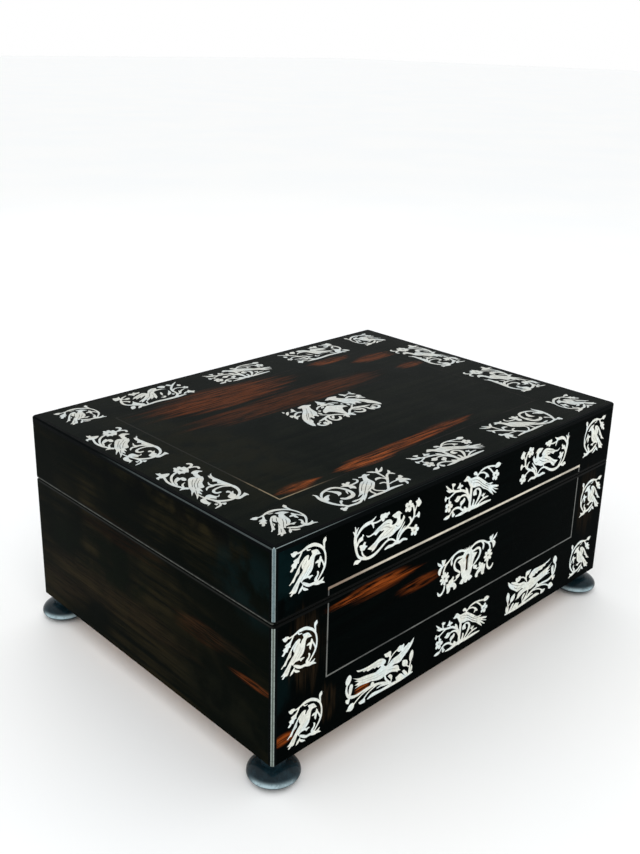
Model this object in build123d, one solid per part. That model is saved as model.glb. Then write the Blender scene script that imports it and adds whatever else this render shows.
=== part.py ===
from build123d import *
import os
from math import acos, cos, radians, sin, tan

os.makedirs("parts", exist_ok=True)

# A veneered and inlaid box with a deep hinged lid, standing on four turned feet.
# The origin is on the ground under the middle of the box. The front faces -Y, the hinges are
# at +Y, and +Z is up. All sizes are in millimetres.

# The body without its feet
length = 305.0
depth = 229.0
base_height = 83.0
lid_height = 42.0
lid_gap = 0.2

# Boards, veneers and the strips that guard the arrises
wall = 9.0
veneer = 1.5
bottom_thickness = 6.0
bottom_rebate = 6.0
lid_board = 7.0
edging = 3.0
arris_radius = 2.5
arris_chamfer = 0.8
lipping = 1.8
lipping_chamfer = 0.5
tail_pitch = 20.0
tail_width = 10.0
tail_flare = 1.5

# Turned feet
foot_height = 16.0
foot_radius = 14.5
foot_inset = 9.3
foot_rim_height = 4.3
foot_crown_height = 5.8
foot_rings = 4
foot_base_radius = 9.0
foot_neck_radius = 7.0
foot_tenon_radius = 4.0
foot_tenon_length = 5.0
tenon_clearance = 0.1

# Butt hinges
hinge_length = 38.0
hinge_inset = 58.0
knuckle_radius = 2.6
knuckle_count = 3
knuckle_gap = 0.2
knuckle_recess = 0.3
hinge_pin_radius = 1.3
hinge_pin_clearance = 0.05
leaf_thickness = 1.4
leaf_reach = 7.0
bevel_angle = 50.0

# Lock in the front board, and the link plate that it holds
lock_length = 38.0
lock_height = 30.0
lock_thickness = 7.0
lock_plate_length = 48.0
lock_plate_thickness = 1.2
lock_front_thickness = 1.0
lock_end_thickness = 1.5
selvedge_thickness = 1.5
keyhole_drop = 18.2
keyhole_radius = 1.9
keyhole_slot_width = 2.4
keyhole_slot_length = 9.3
drill_pin_radius = 1.0
bolt_travel = 4.5
bolt_height = 4.5
bolt_key_room = 3.5
bolt_clearance = 0.2
talon_width = 4.0
talon_depth = 2.0
prong_thickness = 2.0
prong_height = 2.0
prong_start_gap = 0.7
arm_width = 2.5
link_plate_length = 44.0
link_plate_thickness = 1.4
staple_thickness = 1.6
staple_drop = 8.0
staple_wall = 0.8
staple_floor = 1.4
staple_clearance = 0.3

# Lift-out tray and what it stands on
tray_gap = 0.5
tray_drop = 3.0
tray_height = 30.0
tray_wall = 5.0
tray_floor = 3.0
divider_thickness = 4.0
divider_drop = 4.0
divider_clearance = 0.1
end_compartment = 82.5
back_compartment = 68.5
bearer_width = 6.0
bearer_height = 8.0
tray_rest_gap = 0.2
knob_radius = 4.0
knob_height = 8.0
knob_head_height = 3.5
knob_stem_radius = 1.6
knob_tenon_length = 5.0
knob_inset = 20.0

# Linings
lining = 1.0
lining_gap = 0.3
lid_lining = 1.5

# Pearl inlay and stringing, let into the top and the front
inlay_thickness = 0.6
string_width = 0.9
upper_string_width = 1.5
escutcheon_drop = 5.4

# Columns and rows of the inlay, in thousandths of the half length, half depth or height
corner_column = 849
side_column = 884
middle_column = 475
string_column = 755
corner_row = 832
side_row = 311
string_row = 668
lid_row = 567
lid_string_row = 150
upper_row = 743
lower_row = 205
base_string_row = 447

# Outlines of the pearl pieces, each about the middle of its motif
corner_bird = [
    (2, 8.5), (8.5, 5), (4.5, 4), (0.5, -4.5), (-8, -11),
    (-11, -8.5), (-3.5, 0), (-10.5, -3), (-5, 4.5),
]
perched_bird = [
    (-13.5, 2), (-3.5, 6), (8.5, 8.5), (13.5, 3.5), (9.5, -2),
    (2, -4.5), (-10, -8), (-15, -5.5), (-3, 1.5),
]
tree_bird = [
    (-9.5, 9.5), (-6.5, 11.5), (-2.5, 9), (4, 8.5), (19, -1.5),
    (25.5, -4), (15, -4), (5, 1.5), (-2.5, 3.5),
]
flying_bird = [
    (-23, 8.5), (-2, 4.5), (-3, 7), (-11, 7.5), (-17.5, 11.5), (-1.5, 11), (4, 7.5),
    (5, 4), (15, 6.5), (27.5, 12.5), (11, 1.5), (17, -5), (0.5, -3), (-16.5, 1),
]
bough_bird = [
    (7.5, 10.5), (14, 12), (15.5, 10), (11.5, 7.5), (10, 1),
    (4, -4), (-11, -11.5), (-11.5, -8), (2.5, 5),
]
side_bird = [
    (5, 15), (8, 17), (11.5, 13.5), (7, 12), (5.5, 5),
    (-0.5, -3.5), (-12.5, -13), (-12, -8.5), (-1.5, 9.5),
]
thicket_bird = [
    (5.5, 12), (10, 6.5), (2.5, 5), (-1, -3.5), (-15, -6.5),
    (-7.5, 1.5), (-14.5, 1), (-7, 8.5), (-2.5, 6),
]
shield_bird = [
    (-17.5, 16), (-10.5, 17.5), (-6.5, 15), (-12.5, 3.5), (-17.5, -3.5),
    (-23, -2), (-29.5, -14.5), (-31, -8), (-15.5, 14),
]
half_shield = [(0, 7), (8, 2.5), (10, -3), (6, -2.5), (2.5, -6), (0, -12)]
half_escutcheon = [(3.5, 12), (4, 7.5), (9, 5.5), (5.5, -2.5), (3.5, -8), (6, -10.5), (0, -11.5)]

# Places worked out from the sizes
x_out = length / 2
y_out = depth / 2
x_carcass = x_out - veneer
y_carcass = y_out - veneer
x_in = x_carcass - wall
y_in = y_carcass - wall
z_base = foot_height
z_joint = z_base + base_height
z_lid = z_joint + lid_gap
z_top = z_joint + lid_height
z_base_boards = z_joint - lipping
z_lid_boards = z_lid + lipping
z_lid_board = z_top - veneer - lid_board
z_well = z_base + bottom_thickness
y_axis = y_out - knuckle_radius
z_axis = z_joint + lid_gap / 2
z_tray_top = z_joint - tray_drop
z_tray = z_tray_top - tray_height
z_keyhole = z_joint - keyhole_drop
x_tray = x_in - tray_gap
y_tray = y_in - tray_gap
x_tray_room = x_tray - tray_wall
y_tray_room = y_tray - tray_wall
cross_divider_x = x_tray_room - end_compartment - divider_thickness / 2
long_divider_y = y_tray_room - back_compartment - divider_thickness / 2
knob_x = cross_divider_x - divider_thickness / 2 - knob_inset
hinge_centres = [-x_out + hinge_inset, x_out - hinge_inset]
far = length


def block(x0, x1, y0, y1, z0, z1):
    """A box between two corners."""
    middle = Pos((x0 + x1) / 2, (y0 + y1) / 2, (z0 + z1) / 2)
    return middle * Box(x1 - x0, y1 - y0, z1 - z0)


def ring_of_four(x_half, y_half, width, z0, z1):
    """Four strips round a rectangle, mitred at its corners: front, back, left and right."""
    x_inner = x_half - width
    y_inner = y_half - width
    long_side = [(-x_half, -y_half), (x_half, -y_half), (x_inner, -y_inner), (-x_inner, -y_inner)]
    short_side = [(-x_half, -y_half), (-x_inner, -y_inner), (-x_inner, y_inner), (-x_half, y_half)]
    front = Pos(0, 0, z0) * extrude(Polygon(*long_side, align=None), z1 - z0, dir=(0, 0, 1))
    left = Pos(0, 0, z0) * extrude(Polygon(*short_side, align=None), z1 - z0, dir=(0, 0, 1))
    back = mirror(front, Plane.XZ)
    right = mirror(left, Plane.YZ)
    return [front, back, left, right]


def prism_along_x(points, x0, x1):
    """A section of (y, z) points, run along X."""
    return Pos(x0, 0, 0) * extrude(Plane.YZ * Polygon(*points, align=None), x1 - x0, dir=(1, 0, 0))


def rod_along_x(radius, x0, x1, y, z):
    """A round bar along X."""
    return Pos((x0 + x1) / 2, y, z) * Rot(0, 90, 0) * Cylinder(radius, x1 - x0)


def write(name, *solids):
    """Writes one named piece, or a group of like pieces, as parts/NAME.step."""
    shape = solids[0] if len(solids) == 1 else Compound(list(solids))
    export_step(shape, f"parts/{name}.step")


def outer_form(z0, z1, eased_top):
    """The outside of the base or the lid, with its upright corners rounded."""
    form = block(-x_out, x_out, -y_out, y_out, z0, z1)
    form = fillet(form.edges().filter_by(Axis.Z), arris_radius)
    if eased_top:
        form = chamfer(form.edges().group_by(Axis.Z)[-1], arris_chamfer)
    return form


def tails(x_side, y_side, z0, z1):
    """The dovetails at one corner, cut on the end of an end board and as wide as it is thick."""
    count = max(1, round((z1 - z0) / tail_pitch))
    pitch = (z1 - z0) / count
    narrow = tail_width / 2
    wide = narrow + tail_flare
    x0, x1 = sorted([x_side * x_in, x_side * x_carcass])
    found = []
    for i in range(count):
        z = z0 + pitch * (i + 0.5)
        y_shoulder = y_side * y_in
        y_end = y_side * y_carcass
        points = [
            (y_shoulder, z - narrow),
            (y_end, z - wide),
            (y_end, z + wide),
            (y_shoulder, z + narrow),
        ]
        found.append(prism_along_x(points, x0, x1))
    return found


def carcass(z0, z1):
    """Four boards dovetailed at the corners: front, back, left and right."""
    boards = []
    all_tails = {}
    for x_side in (-1, 1):
        for y_side in (-1, 1):
            all_tails[x_side, y_side] = tails(x_side, y_side, z0, z1)
    for y_side in (-1, 1):
        y0, y1 = sorted([y_side * y_in, y_side * y_carcass])
        board = block(-x_carcass, x_carcass, y0, y1, z0, z1)
        boards.append(board - all_tails[-1, y_side] - all_tails[1, y_side])
    for x_side in (-1, 1):
        x0, x1 = sorted([x_side * x_in, x_side * x_carcass])
        board = block(x0, x1, -y_in, y_in, z0, z1)
        boards.append(board + all_tails[x_side, -1] + all_tails[x_side, 1])
    return boards


def corner_strips(z0, z1, form):
    """The four upright strips let into the corners."""
    strips = []
    for x_side in (-1, 1):
        for y_side in (-1, 1):
            x0, x1 = sorted([x_side * (x_out - edging), x_side * x_out])
            y0, y1 = sorted([y_side * (y_out - edging), y_side * y_out])
            strips.append(block(x0, x1, y0, y1, z0, z1) & form)
    return strips


def face_veneers(z0, z1):
    """The veneers between the corner strips: front, back, left and right."""
    x_edge = x_out - edging
    y_edge = y_out - edging
    front = block(-x_edge, x_edge, -y_out, -y_carcass, z0, z1)
    back = block(-x_edge, x_edge, y_carcass, y_out, z0, z1)
    left = block(-x_out, -x_carcass, -y_edge, y_edge, z0, z1)
    right = block(x_carcass, x_out, -y_edge, y_edge, z0, z1)
    return [front, back, left, right]


def rim_lipping(z0, z1, z_outer, form):
    """The mitred strips that cover the rim, with the outer arris at z_outer eased."""
    chamfer_up = 1 if z_outer == z1 else -1
    eased = form.edges().group_by(Axis.Z)[-1 if chamfer_up > 0 else 0]
    eased_form = chamfer(eased, lipping_chamfer)
    return [strip & eased_form for strip in ring_of_four(x_out, y_out, wall + veneer, z0, z1)]


# The bevels along the back let the lid open past upright and then stop it
bevel_run = 2 * knuckle_radius
bevel_rise = bevel_run * tan(radians(bevel_angle))
base_bevel = prism_along_x(
    [(y_axis, z_axis), (y_axis + bevel_run, z_axis - bevel_rise), (y_axis + bevel_run, z_axis)], -far, far
)
lid_bevel = prism_along_x(
    [(y_axis, z_axis), (y_axis + bevel_run, z_axis), (y_axis + bevel_run, z_axis + bevel_rise)], -far, far
)


def hinge(x_centre):
    """One butt hinge: its base leaf, lid leaf and pin. Its screws are too small to model here."""
    x0 = x_centre - hinge_length / 2
    x1 = x_centre + hinge_length / 2
    knuckle = (hinge_length - (knuckle_count - 1) * knuckle_gap) / knuckle_count
    y_leaf = y_axis - leaf_reach
    base_leaf = block(x0, x1, y_leaf, y_axis, z_joint - leaf_thickness, z_joint)
    lid_leaf = block(x0, x1, y_leaf, y_axis, z_lid, z_lid + leaf_thickness)
    for i in range(knuckle_count):
        start = x0 + i * (knuckle + knuckle_gap)
        end = start + knuckle
        tube = rod_along_x(knuckle_radius, start, end, y_axis, z_axis)
        room_start = max(x0, start - knuckle_gap)
        room_end = min(x1, end + knuckle_gap)
        reach = knuckle_radius + knuckle_gap
        room = block(room_start, room_end, y_axis - reach, y_axis + reach, z_axis - reach, z_axis + reach)
        if i % 2 == 0:
            base_leaf = base_leaf + tube
            lid_leaf = lid_leaf - room
        else:
            lid_leaf = lid_leaf + tube
            base_leaf = base_leaf - room
    bore = rod_along_x(hinge_pin_radius + hinge_pin_clearance, x0, x1, y_axis, z_axis)
    pin = rod_along_x(hinge_pin_radius, x0, x1, y_axis, z_axis)
    return base_leaf - bore, lid_leaf - bore, pin


def hinge_rooms(z0, z1):
    """What the rim loses to the two hinges: leaf mortises and knuckle recesses."""
    rooms = []
    for x_centre in hinge_centres:
        x0 = x_centre - hinge_length / 2
        x1 = x_centre + hinge_length / 2
        rooms.append(block(x0, x1, y_axis - leaf_reach, y_axis, z0, z1))
        recess = knuckle_radius + knuckle_recess
        rooms.append(rod_along_x(recess, x0 - knuckle_recess, x1 + knuckle_recess, y_axis, z_axis))
    return rooms


def keyhole(y0, y1):
    """The keyhole, a round head over a slot, run from y0 to y1."""
    head = Pos(0, (y0 + y1) / 2, z_keyhole) * Rot(90, 0, 0) * Cylinder(keyhole_radius, y1 - y0)
    half = keyhole_slot_width / 2
    slot = block(-half, half, y0, y1, z_keyhole - keyhole_slot_length, z_keyhole)
    return head + slot


# Lock places, with the lock let into the inside of the front board and flush with its rim
y_lock_back = -y_in
y_lock_front = y_lock_back - lock_thickness
y_cavity_back = y_lock_back - lock_plate_thickness
y_cavity_front = y_lock_front + lock_front_thickness
y_bolt = (y_cavity_back + y_cavity_front) / 2
z_lock = z_joint - lock_height
z_selvedge = z_joint - selvedge_thickness
x_cavity = lock_length / 2 - lock_end_thickness
staple_width = prong_thickness + 2 * staple_clearance + 2 * staple_wall
staple_x = x_cavity - bolt_clearance - arm_width - bolt_travel - staple_clearance - staple_thickness / 2
staple_centres = [-staple_x, staple_x]
z_eye = z_joint - staple_drop + staple_floor
eye_height = prong_height + 2 * staple_clearance

def lock_case():
    """The lock's brass case, with its selvedge in the rim and its plate flush with the board."""
    half = lock_length / 2
    plate = lock_plate_length / 2
    case = block(-half, half, y_lock_front, y_lock_back, z_lock, z_joint)
    case += block(-plate, plate, y_lock_front, y_lock_back, z_selvedge, z_joint)
    case += block(-plate, plate, y_cavity_back, y_lock_back, z_lock, z_joint)
    z_floor = z_lock + lock_end_thickness
    case -= block(-x_cavity, x_cavity, y_cavity_front, y_cavity_back, z_floor, z_selvedge)
    for x in staple_centres:
        half_slot = staple_thickness / 2 + staple_clearance
        half_width = staple_width / 2 + staple_clearance
        y0, y1 = y_bolt - half_width, y_bolt + half_width
        case -= block(x - half_slot, x + half_slot, y0, y1, z_selvedge, z_joint)
    case -= keyhole(y_lock_front, y_cavity_front)
    case += (
        Pos(0, (y_cavity_back + y_lock_front) / 2, z_keyhole)
        * Rot(90, 0, 0)
        * Cylinder(drill_pin_radius, y_cavity_back - y_lock_front)
    )
    return case


def lock_bolt():
    """The sliding bolt: a bar over the key, with two prongs that pass through the staples."""
    z0 = z_keyhole + bolt_key_room
    z1 = z0 + bolt_height
    x0 = -x_cavity + bolt_clearance
    x1 = x_cavity - bolt_clearance - bolt_travel
    y0 = y_cavity_front + bolt_clearance
    y1 = y_cavity_back - bolt_clearance
    bolt = block(x0, x1, y0, y1, z0, z1)
    bolt -= block(-talon_width / 2, talon_width / 2, y0, y1, z0, z0 + talon_depth)
    prong_z = z_eye + staple_clearance
    y0, y1 = y_bolt - prong_thickness / 2, y_bolt + prong_thickness / 2
    for x in staple_centres:
        tip = x - staple_thickness / 2 - prong_start_gap
        root = x - staple_thickness / 2 - bolt_travel - staple_clearance
        bolt += block(root - arm_width, root, y0, y1, z1, prong_z + prong_height)
        bolt += block(root, tip, y0, y1, prong_z, prong_z + prong_height)
    return bolt


def link_plate():
    """The plate on the lid's rim, with the two staples that drop into the lock."""
    half = link_plate_length / 2
    plate = block(-half, half, y_lock_front, y_lock_back, z_lid, z_lid + link_plate_thickness)
    for x in staple_centres:
        x0, x1 = x - staple_thickness / 2, x + staple_thickness / 2
        y0, y1 = y_bolt - staple_width / 2, y_bolt + staple_width / 2
        plate += block(x0, x1, y0, y1, z_joint - staple_drop, z_lid)
        plate -= block(x0, x1, y0 + staple_wall, y1 - staple_wall, z_eye, z_eye + eye_height)
    return plate


def foot_outline():
    """Half the foot's section, on two ellipses: it swells to the rim and draws in to the neck."""
    start = -acos(foot_base_radius / foot_radius)
    finish = acos(foot_neck_radius / foot_radius)
    points = []
    for i in range(foot_rings + 1):
        angle = start + (finish - start) * i / foot_rings
        reach = foot_rim_height / sin(-start) if angle < 0 else foot_crown_height / sin(finish)
        points.append((foot_radius * cos(angle), foot_rim_height + reach * sin(angle)))
    return points


def foot(x, y):
    """A turned foot: round, widest low down, with a tenon into the body."""
    z_tenon = foot_height + foot_tenon_length
    shoulder = [(foot_neck_radius, foot_height), (foot_tenon_radius, foot_height)]
    tenon = [(foot_tenon_radius, z_tenon), (0, z_tenon)]
    profile = Polyline((0, 0), *foot_outline(), *shoulder, *tenon, close=True)
    return Pos(x, y, 0) * revolve(Plane.XZ * make_face(profile), Axis.Z)


def foot_sockets():
    """The blind holes for the feet's tenons."""
    depth_up = foot_tenon_length + tenon_clearance
    socket = Cylinder(foot_tenon_radius + tenon_clearance, depth_up)
    return [Pos(x, y, z_base + depth_up / 2) * socket for x, y in foot_places]


def share(whole, thousandths):
    """So many thousandths of a size."""
    return whole * thousandths / 1000


def mirrored(outline):
    """An outline turned over left to right."""
    return [(-a, b) for a, b in reversed(outline)]


def both_halves(outline):
    """A symmetric outline from its right half."""
    return outline + [(a, b) for a, b in mirrored(outline) if a < 0]


def placed(outline, x, up):
    """An outline about its place. Those right of the middle look left, so they are mirrored."""
    turned = mirrored(outline) if x > 0 else outline
    return Polygon(*[(x + a, up + b) for a, b in turned], align=None)


def top_pieces(faces):
    """Flat faces as pieces let into the top."""
    floor = Pos(0, 0, z_top - inlay_thickness)
    return [floor * extrude(face, inlay_thickness, dir=(0, 0, 1)) for face in faces]


def front_pieces(faces):
    """Flat faces as pieces let into the front."""
    surface = Pos(0, -y_out, 0)
    return [surface * extrude(Plane.XZ * face, inlay_thickness, dir=(0, 1, 0)) for face in faces]


def hoop(z_line, line_width, z_end):
    """Stringing on the front: a level line and two legs that run from it to z_end."""
    half = string_width / 2
    way = 1 if z_end > z_line else -1
    near = z_line + way * line_width / 2
    far_side = z_line - way * line_width / 2
    x0 = x_string - half
    x1 = x_string + half
    right = [(x0, near), (x0, z_end), (x1, z_end), (x1, far_side)]
    return Polygon(*right, *mirrored(right), align=None)


# Where the inlay's columns and rows run
x_corner = share(x_out, corner_column)
x_side = share(x_out, side_column)
x_middle = share(x_out, middle_column)
x_string = share(x_out, string_column)
y_corner = share(y_out, corner_row)
y_side_bird = share(y_out, side_row)
y_string = share(y_out, string_row)
z_lid_row = z_lid + share(lid_height, lid_row)
z_lid_string = z_lid + share(lid_height, lid_string_row)
z_upper_row = z_base + share(base_height, upper_row)
z_lower_row = z_base + share(base_height, lower_row)
z_base_string = z_base + share(base_height, base_string_row)
z_escutcheon = z_keyhole - escutcheon_drop


def top_pearl():
    """The pearl pieces of the top: birds round the border, and two birds at a shield in the middle."""
    faces = []
    for x in (-x_corner, x_corner):
        faces += [placed(corner_bird, x, -y_corner), placed(corner_bird, x, y_corner)]
    for x in (-x_side, x_side):
        faces += [placed(side_bird, x, -y_side_bird), placed(side_bird, x, y_side_bird)]
    for x in (-x_middle, x_middle):
        faces += [placed(bough_bird, x, -y_corner), placed(thicket_bird, x, y_corner)]
    faces += [placed(tree_bird, 0, -y_corner), placed(tree_bird, 0, y_corner)]
    for outline in (shield_bird, mirrored(shield_bird), both_halves(half_shield)):
        faces.append(placed(outline, 0, 0))
    return top_pieces(faces)


def lid_front_pearl():
    """The pearl birds on the front of the lid."""
    faces = [placed(tree_bird, 0, z_lid_row)]
    for side in (-1, 1):
        faces.append(placed(corner_bird, side * x_corner, z_lid_row))
        faces.append(placed(perched_bird, side * x_middle, z_lid_row))
    return front_pieces(faces)


def base_front_pearl():
    """The pearl birds on the front of the base, and the escutcheon round the keyhole."""
    faces = [placed(tree_bird, 0, z_lower_row)]
    for side in (-1, 1):
        faces.append(placed(corner_bird, side * x_side, z_upper_row))
        faces.append(placed(corner_bird, side * x_corner, z_lower_row))
        faces.append(placed(flying_bird, side * x_middle, z_lower_row))
    return front_pieces(faces + [placed(both_halves(half_escutcheon), 0, z_escutcheon)])


def top_stringing():
    """The line round the top's panel."""
    half = string_width / 2
    z0 = z_top - inlay_thickness
    outer = block(-x_string - half, x_string + half, -y_string - half, y_string + half, z0, z_top)
    return outer - block(-x_string + half, x_string - half, -y_string + half, y_string - half, z0, z_top)


foot_x = x_out - foot_inset
foot_y = y_out - foot_inset
foot_places = [(-foot_x, -foot_y), (-foot_x, foot_y), (foot_x, -foot_y), (foot_x, foot_y)]
sides = ["front", "back", "left", "right"]


def make_base():
    """The base: boards, bottom, veneers, corner strips and lipping."""
    form = outer_form(z_base, z_joint, False)
    strips = corner_strips(z_base, z_base_boards, form)
    half_x = x_in + bottom_rebate
    half_y = y_in + bottom_rebate
    bottom = block(-half_x, half_x, -half_y, half_y, z_base, z_well)
    rooms = hinge_rooms(z_joint - leaf_thickness, z_joint)
    sockets = foot_sockets()
    lock_room = block(-lock_length / 2, lock_length / 2, y_lock_front, y_lock_back, z_lock, z_joint)
    plate = lock_plate_length / 2
    lock_room += block(-plate, plate, y_cavity_back, y_lock_back, z_lock, z_joint)
    lock_room += block(-plate, plate, y_lock_front, y_lock_back, z_selvedge, z_joint)
    through = keyhole(-y_out, y_lock_front)
    pearl = base_front_pearl()
    string = front_pieces([hoop(z_base_string, string_width, z_base_boards)])

    for side, board in zip(sides, carcass(z_base, z_base_boards)):
        board = board - strips - bottom - base_bevel
        if side == "front":
            board = board - lock_room - through
        if side == "back":
            board = board - rooms
        write(f"base_{side}_board", board)
    for side, sheet in zip(sides, face_veneers(z_base, z_base_boards)):
        sheet = sheet - base_bevel
        if side == "front":
            sheet = sheet - pearl - string - through
        if side == "back":
            sheet = sheet - rooms
        write(f"base_{side}_veneer", sheet)
    front, back, left, right = rim_lipping(z_base_boards, z_joint, z_joint, form)
    front = front - lock_room
    back = back - base_bevel - rooms
    write("base_lipping", front, back, left - base_bevel, right - base_bevel)
    write("base_corner_strips", *[strip - base_bevel for strip in strips])
    write("bottom_board", bottom - sockets)
    write("base_front_pearl", *[piece - through for piece in pearl])
    write("base_front_stringing", *string)


def make_lid():
    """The lid: boards, top, veneers, corner strips, top edging and lipping."""
    form = outer_form(z_lid, z_top, True)
    z_edging = z_top - edging
    strips = corner_strips(z_lid_boards, z_edging, form)
    top_strips = [strip & form for strip in ring_of_four(x_out, y_out, edging, z_edging, z_top)]
    rooms = hinge_rooms(z_lid, z_lid + leaf_thickness)
    half = link_plate_length / 2
    z_link = z_lid + link_plate_thickness
    link_room = block(-half, half, y_lock_front, y_lock_back, z_lid, z_link)

    for side, board in zip(sides, carcass(z_lid_boards, z_lid_board)):
        board = board - strips - lid_bevel
        if side == "back":
            board = board - rooms
        write(f"lid_{side}_board", board)
    pearl = lid_front_pearl()
    string = front_pieces([hoop(z_lid_string, upper_string_width, z_lid_boards)])
    for side, sheet in zip(sides, face_veneers(z_lid_boards, z_edging)):
        sheet = sheet - lid_bevel
        if side == "front":
            sheet = sheet - pearl - string
        if side == "back":
            sheet = sheet - rooms
        write(f"lid_{side}_veneer", sheet)
    front, back, left, right = rim_lipping(z_lid, z_lid_boards, z_lid, form)
    front = front - link_room
    back = back - lid_bevel - rooms
    write("lid_lipping", front, back, left - lid_bevel, right - lid_bevel)
    top_board = block(-x_carcass, x_carcass, -y_carcass, y_carcass, z_lid_board, z_top - veneer)
    write("lid_top_board", top_board - top_strips - strips)
    x_edge = x_out - edging
    y_edge = y_out - edging
    sheet = block(-x_edge, x_edge, -y_edge, y_edge, z_top - veneer, z_top)
    write("lid_top_veneer", sheet - top_pearl() - top_stringing())
    write("lid_front_pearl", *pearl)
    write("lid_front_stringing", *string)
    write("lid_top_pearl", *top_pearl())
    write("lid_top_stringing", top_stringing())
    write("lid_corner_strips", *[strip - lid_bevel for strip in strips])
    write("lid_top_edging", *top_strips)
    x_lined = x_in - lining_gap
    y_lined = y_in - lining_gap
    z_lined = z_lid_board - lid_lining
    write("lid_lining", block(-x_lined, x_lined, -y_lined, y_lined, z_lined, z_lid_board))


def make_hinges():
    """The two hinges."""
    base_leaves, lid_leaves, pins = zip(*[hinge(x_centre) for x_centre in hinge_centres])
    write("hinge_base_leaves", *base_leaves)
    write("hinge_lid_leaves", *lid_leaves)
    write("hinge_pins", *pins)


def make_lock():
    """The lock, its bolt and the link plate."""
    write("lock_case", lock_case())
    write("lock_bolt", lock_bolt())
    write("link_plate", link_plate())


def make_feet():
    """Four turned feet, one under each corner."""
    write("feet", *[foot(x, y) for x, y in foot_places])


def knob(x):
    """A small mushroom knob on the long divider, to lift the tray by."""
    z_foot = z_tray_top - divider_drop
    stem_length = knob_tenon_length + knob_height - knob_head_height
    z_stem = z_foot - knob_tenon_length + stem_length / 2
    z_head = z_foot + knob_height - knob_head_height / 2
    stem = Pos(x, long_divider_y, z_stem) * Cylinder(knob_stem_radius, stem_length)
    head = Pos(x, long_divider_y, z_head) * Cylinder(knob_radius, knob_head_height)
    return stem + head


def make_tray():
    """The lift-out tray, its dividers, knobs and linings, and the bearers that carry it."""
    z_walls = z_tray + tray_floor
    for side, part in zip(sides, ring_of_four(x_tray, y_tray, tray_wall, z_walls, z_tray_top)):
        write(f"tray_{side}", part)
    write("tray_bottom", block(-x_tray, x_tray, -y_tray, y_tray, z_tray, z_walls))

    z_divider = z_tray_top - divider_drop
    z_lap = (z_walls + z_divider) / 2
    half = divider_thickness / 2
    half_lap = half + divider_clearance
    y0, y1 = long_divider_y - half, long_divider_y + half
    long_divider = block(-x_tray_room, x_tray_room, y0, y1, z_walls, z_divider)
    knob_places = [-knob_x, knob_x]
    for x_side in (-1, 1):
        x = x_side * cross_divider_x
        long_divider -= block(x - half_lap, x + half_lap, y0, y1, z_lap, z_divider)
    for x in knob_places:
        hole_depth = knob_tenon_length + tenon_clearance
        hole = Cylinder(knob_stem_radius + tenon_clearance, hole_depth)
        long_divider -= Pos(x, long_divider_y, z_divider - hole_depth / 2) * hole
    write("tray_long_divider", long_divider)
    for side, x_side in (("left", -1), ("right", 1)):
        x = x_side * cross_divider_x
        y2, y3 = long_divider_y - half_lap, long_divider_y + half_lap
        divider = block(x - half, x + half, -y_tray_room, y_tray_room, z_walls, z_divider)
        divider -= block(x - half, x + half, y2, y3, z_walls, z_lap)
        write(f"tray_cross_divider_{side}", divider)
    write("tray_knobs", *[knob(x) for x in knob_places])

    pads = []
    columns = [
        (-x_tray_room, -cross_divider_x - half),
        (-cross_divider_x + half, cross_divider_x - half),
        (cross_divider_x + half, x_tray_room),
    ]
    rows = [(-y_tray_room, long_divider_y - half), (long_divider_y + half, y_tray_room)]
    for x0, x1 in columns:
        for y0, y1 in rows:
            x0_pad, x1_pad = x0 + lining_gap, x1 - lining_gap
            y0_pad, y1_pad = y0 + lining_gap, y1 - lining_gap
            pads.append(block(x0_pad, x1_pad, y0_pad, y1_pad, z_walls, z_walls + lining))
    write("tray_linings", *pads)

    z_bearer = z_tray - tray_rest_gap
    left_bearer = block(-x_in, -x_in + bearer_width, -y_in, y_in, z_bearer - bearer_height, z_bearer)
    write("tray_bearers", left_bearer, mirror(left_bearer, Plane.YZ))
    x_lined = x_in - lining_gap
    y_lined = y_in - lining_gap
    write("well_lining", block(-x_lined, x_lined, -y_lined, y_lined, z_well, z_well + lining))


make_base()
make_lid()
make_hinges()
make_lock()
make_feet()
make_tray()
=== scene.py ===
from math import cos, pi, radians, sin

import bpy
import numpy as np
from bpy.props import FloatProperty, FloatVectorProperty, PointerProperty
from mathutils import Matrix, Vector
from mathutils.geometry import delaunay_2d_cdt


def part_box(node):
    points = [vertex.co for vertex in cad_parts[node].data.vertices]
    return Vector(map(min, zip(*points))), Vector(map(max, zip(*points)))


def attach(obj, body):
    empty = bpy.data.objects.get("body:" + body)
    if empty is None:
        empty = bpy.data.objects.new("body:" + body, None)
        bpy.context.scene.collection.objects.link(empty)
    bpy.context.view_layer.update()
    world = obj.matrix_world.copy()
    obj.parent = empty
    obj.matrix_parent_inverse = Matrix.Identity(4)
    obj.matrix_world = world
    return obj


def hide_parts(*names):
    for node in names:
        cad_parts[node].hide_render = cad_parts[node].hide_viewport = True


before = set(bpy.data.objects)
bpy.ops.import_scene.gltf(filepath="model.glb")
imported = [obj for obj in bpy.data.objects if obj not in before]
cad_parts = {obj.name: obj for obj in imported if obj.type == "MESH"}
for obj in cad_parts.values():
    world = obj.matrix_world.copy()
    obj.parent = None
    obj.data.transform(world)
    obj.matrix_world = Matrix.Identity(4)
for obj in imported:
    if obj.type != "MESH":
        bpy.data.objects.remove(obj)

bl_info = {
    "name": "Inlaid Box",
    "version": (1, 0, 0),
    "blender": (4, 5, 0),
    "location": "3D View > Sidebar > Inlaid Box",
    "description": "Pearl inlay, veneers, brass, tray and linings for the box with a hinged lid",
    "category": "Object",
}

MM = 0.001

# Places on the box in metres, read by the materials that change along it.
HALF_LENGTH, HALF_DEPTH, TOP = 0.1525, 0.1145, 0.141
EDGE_RADIUS = 0.0025
JOINT = (0.0985, 0.0995)
FOOT_CENTRE = (0.1432, 0.1052)

# The way that the painted highlight band on each foot faces, across and in depth.
FOOT_LIT = (-0.70, -0.714)

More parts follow.
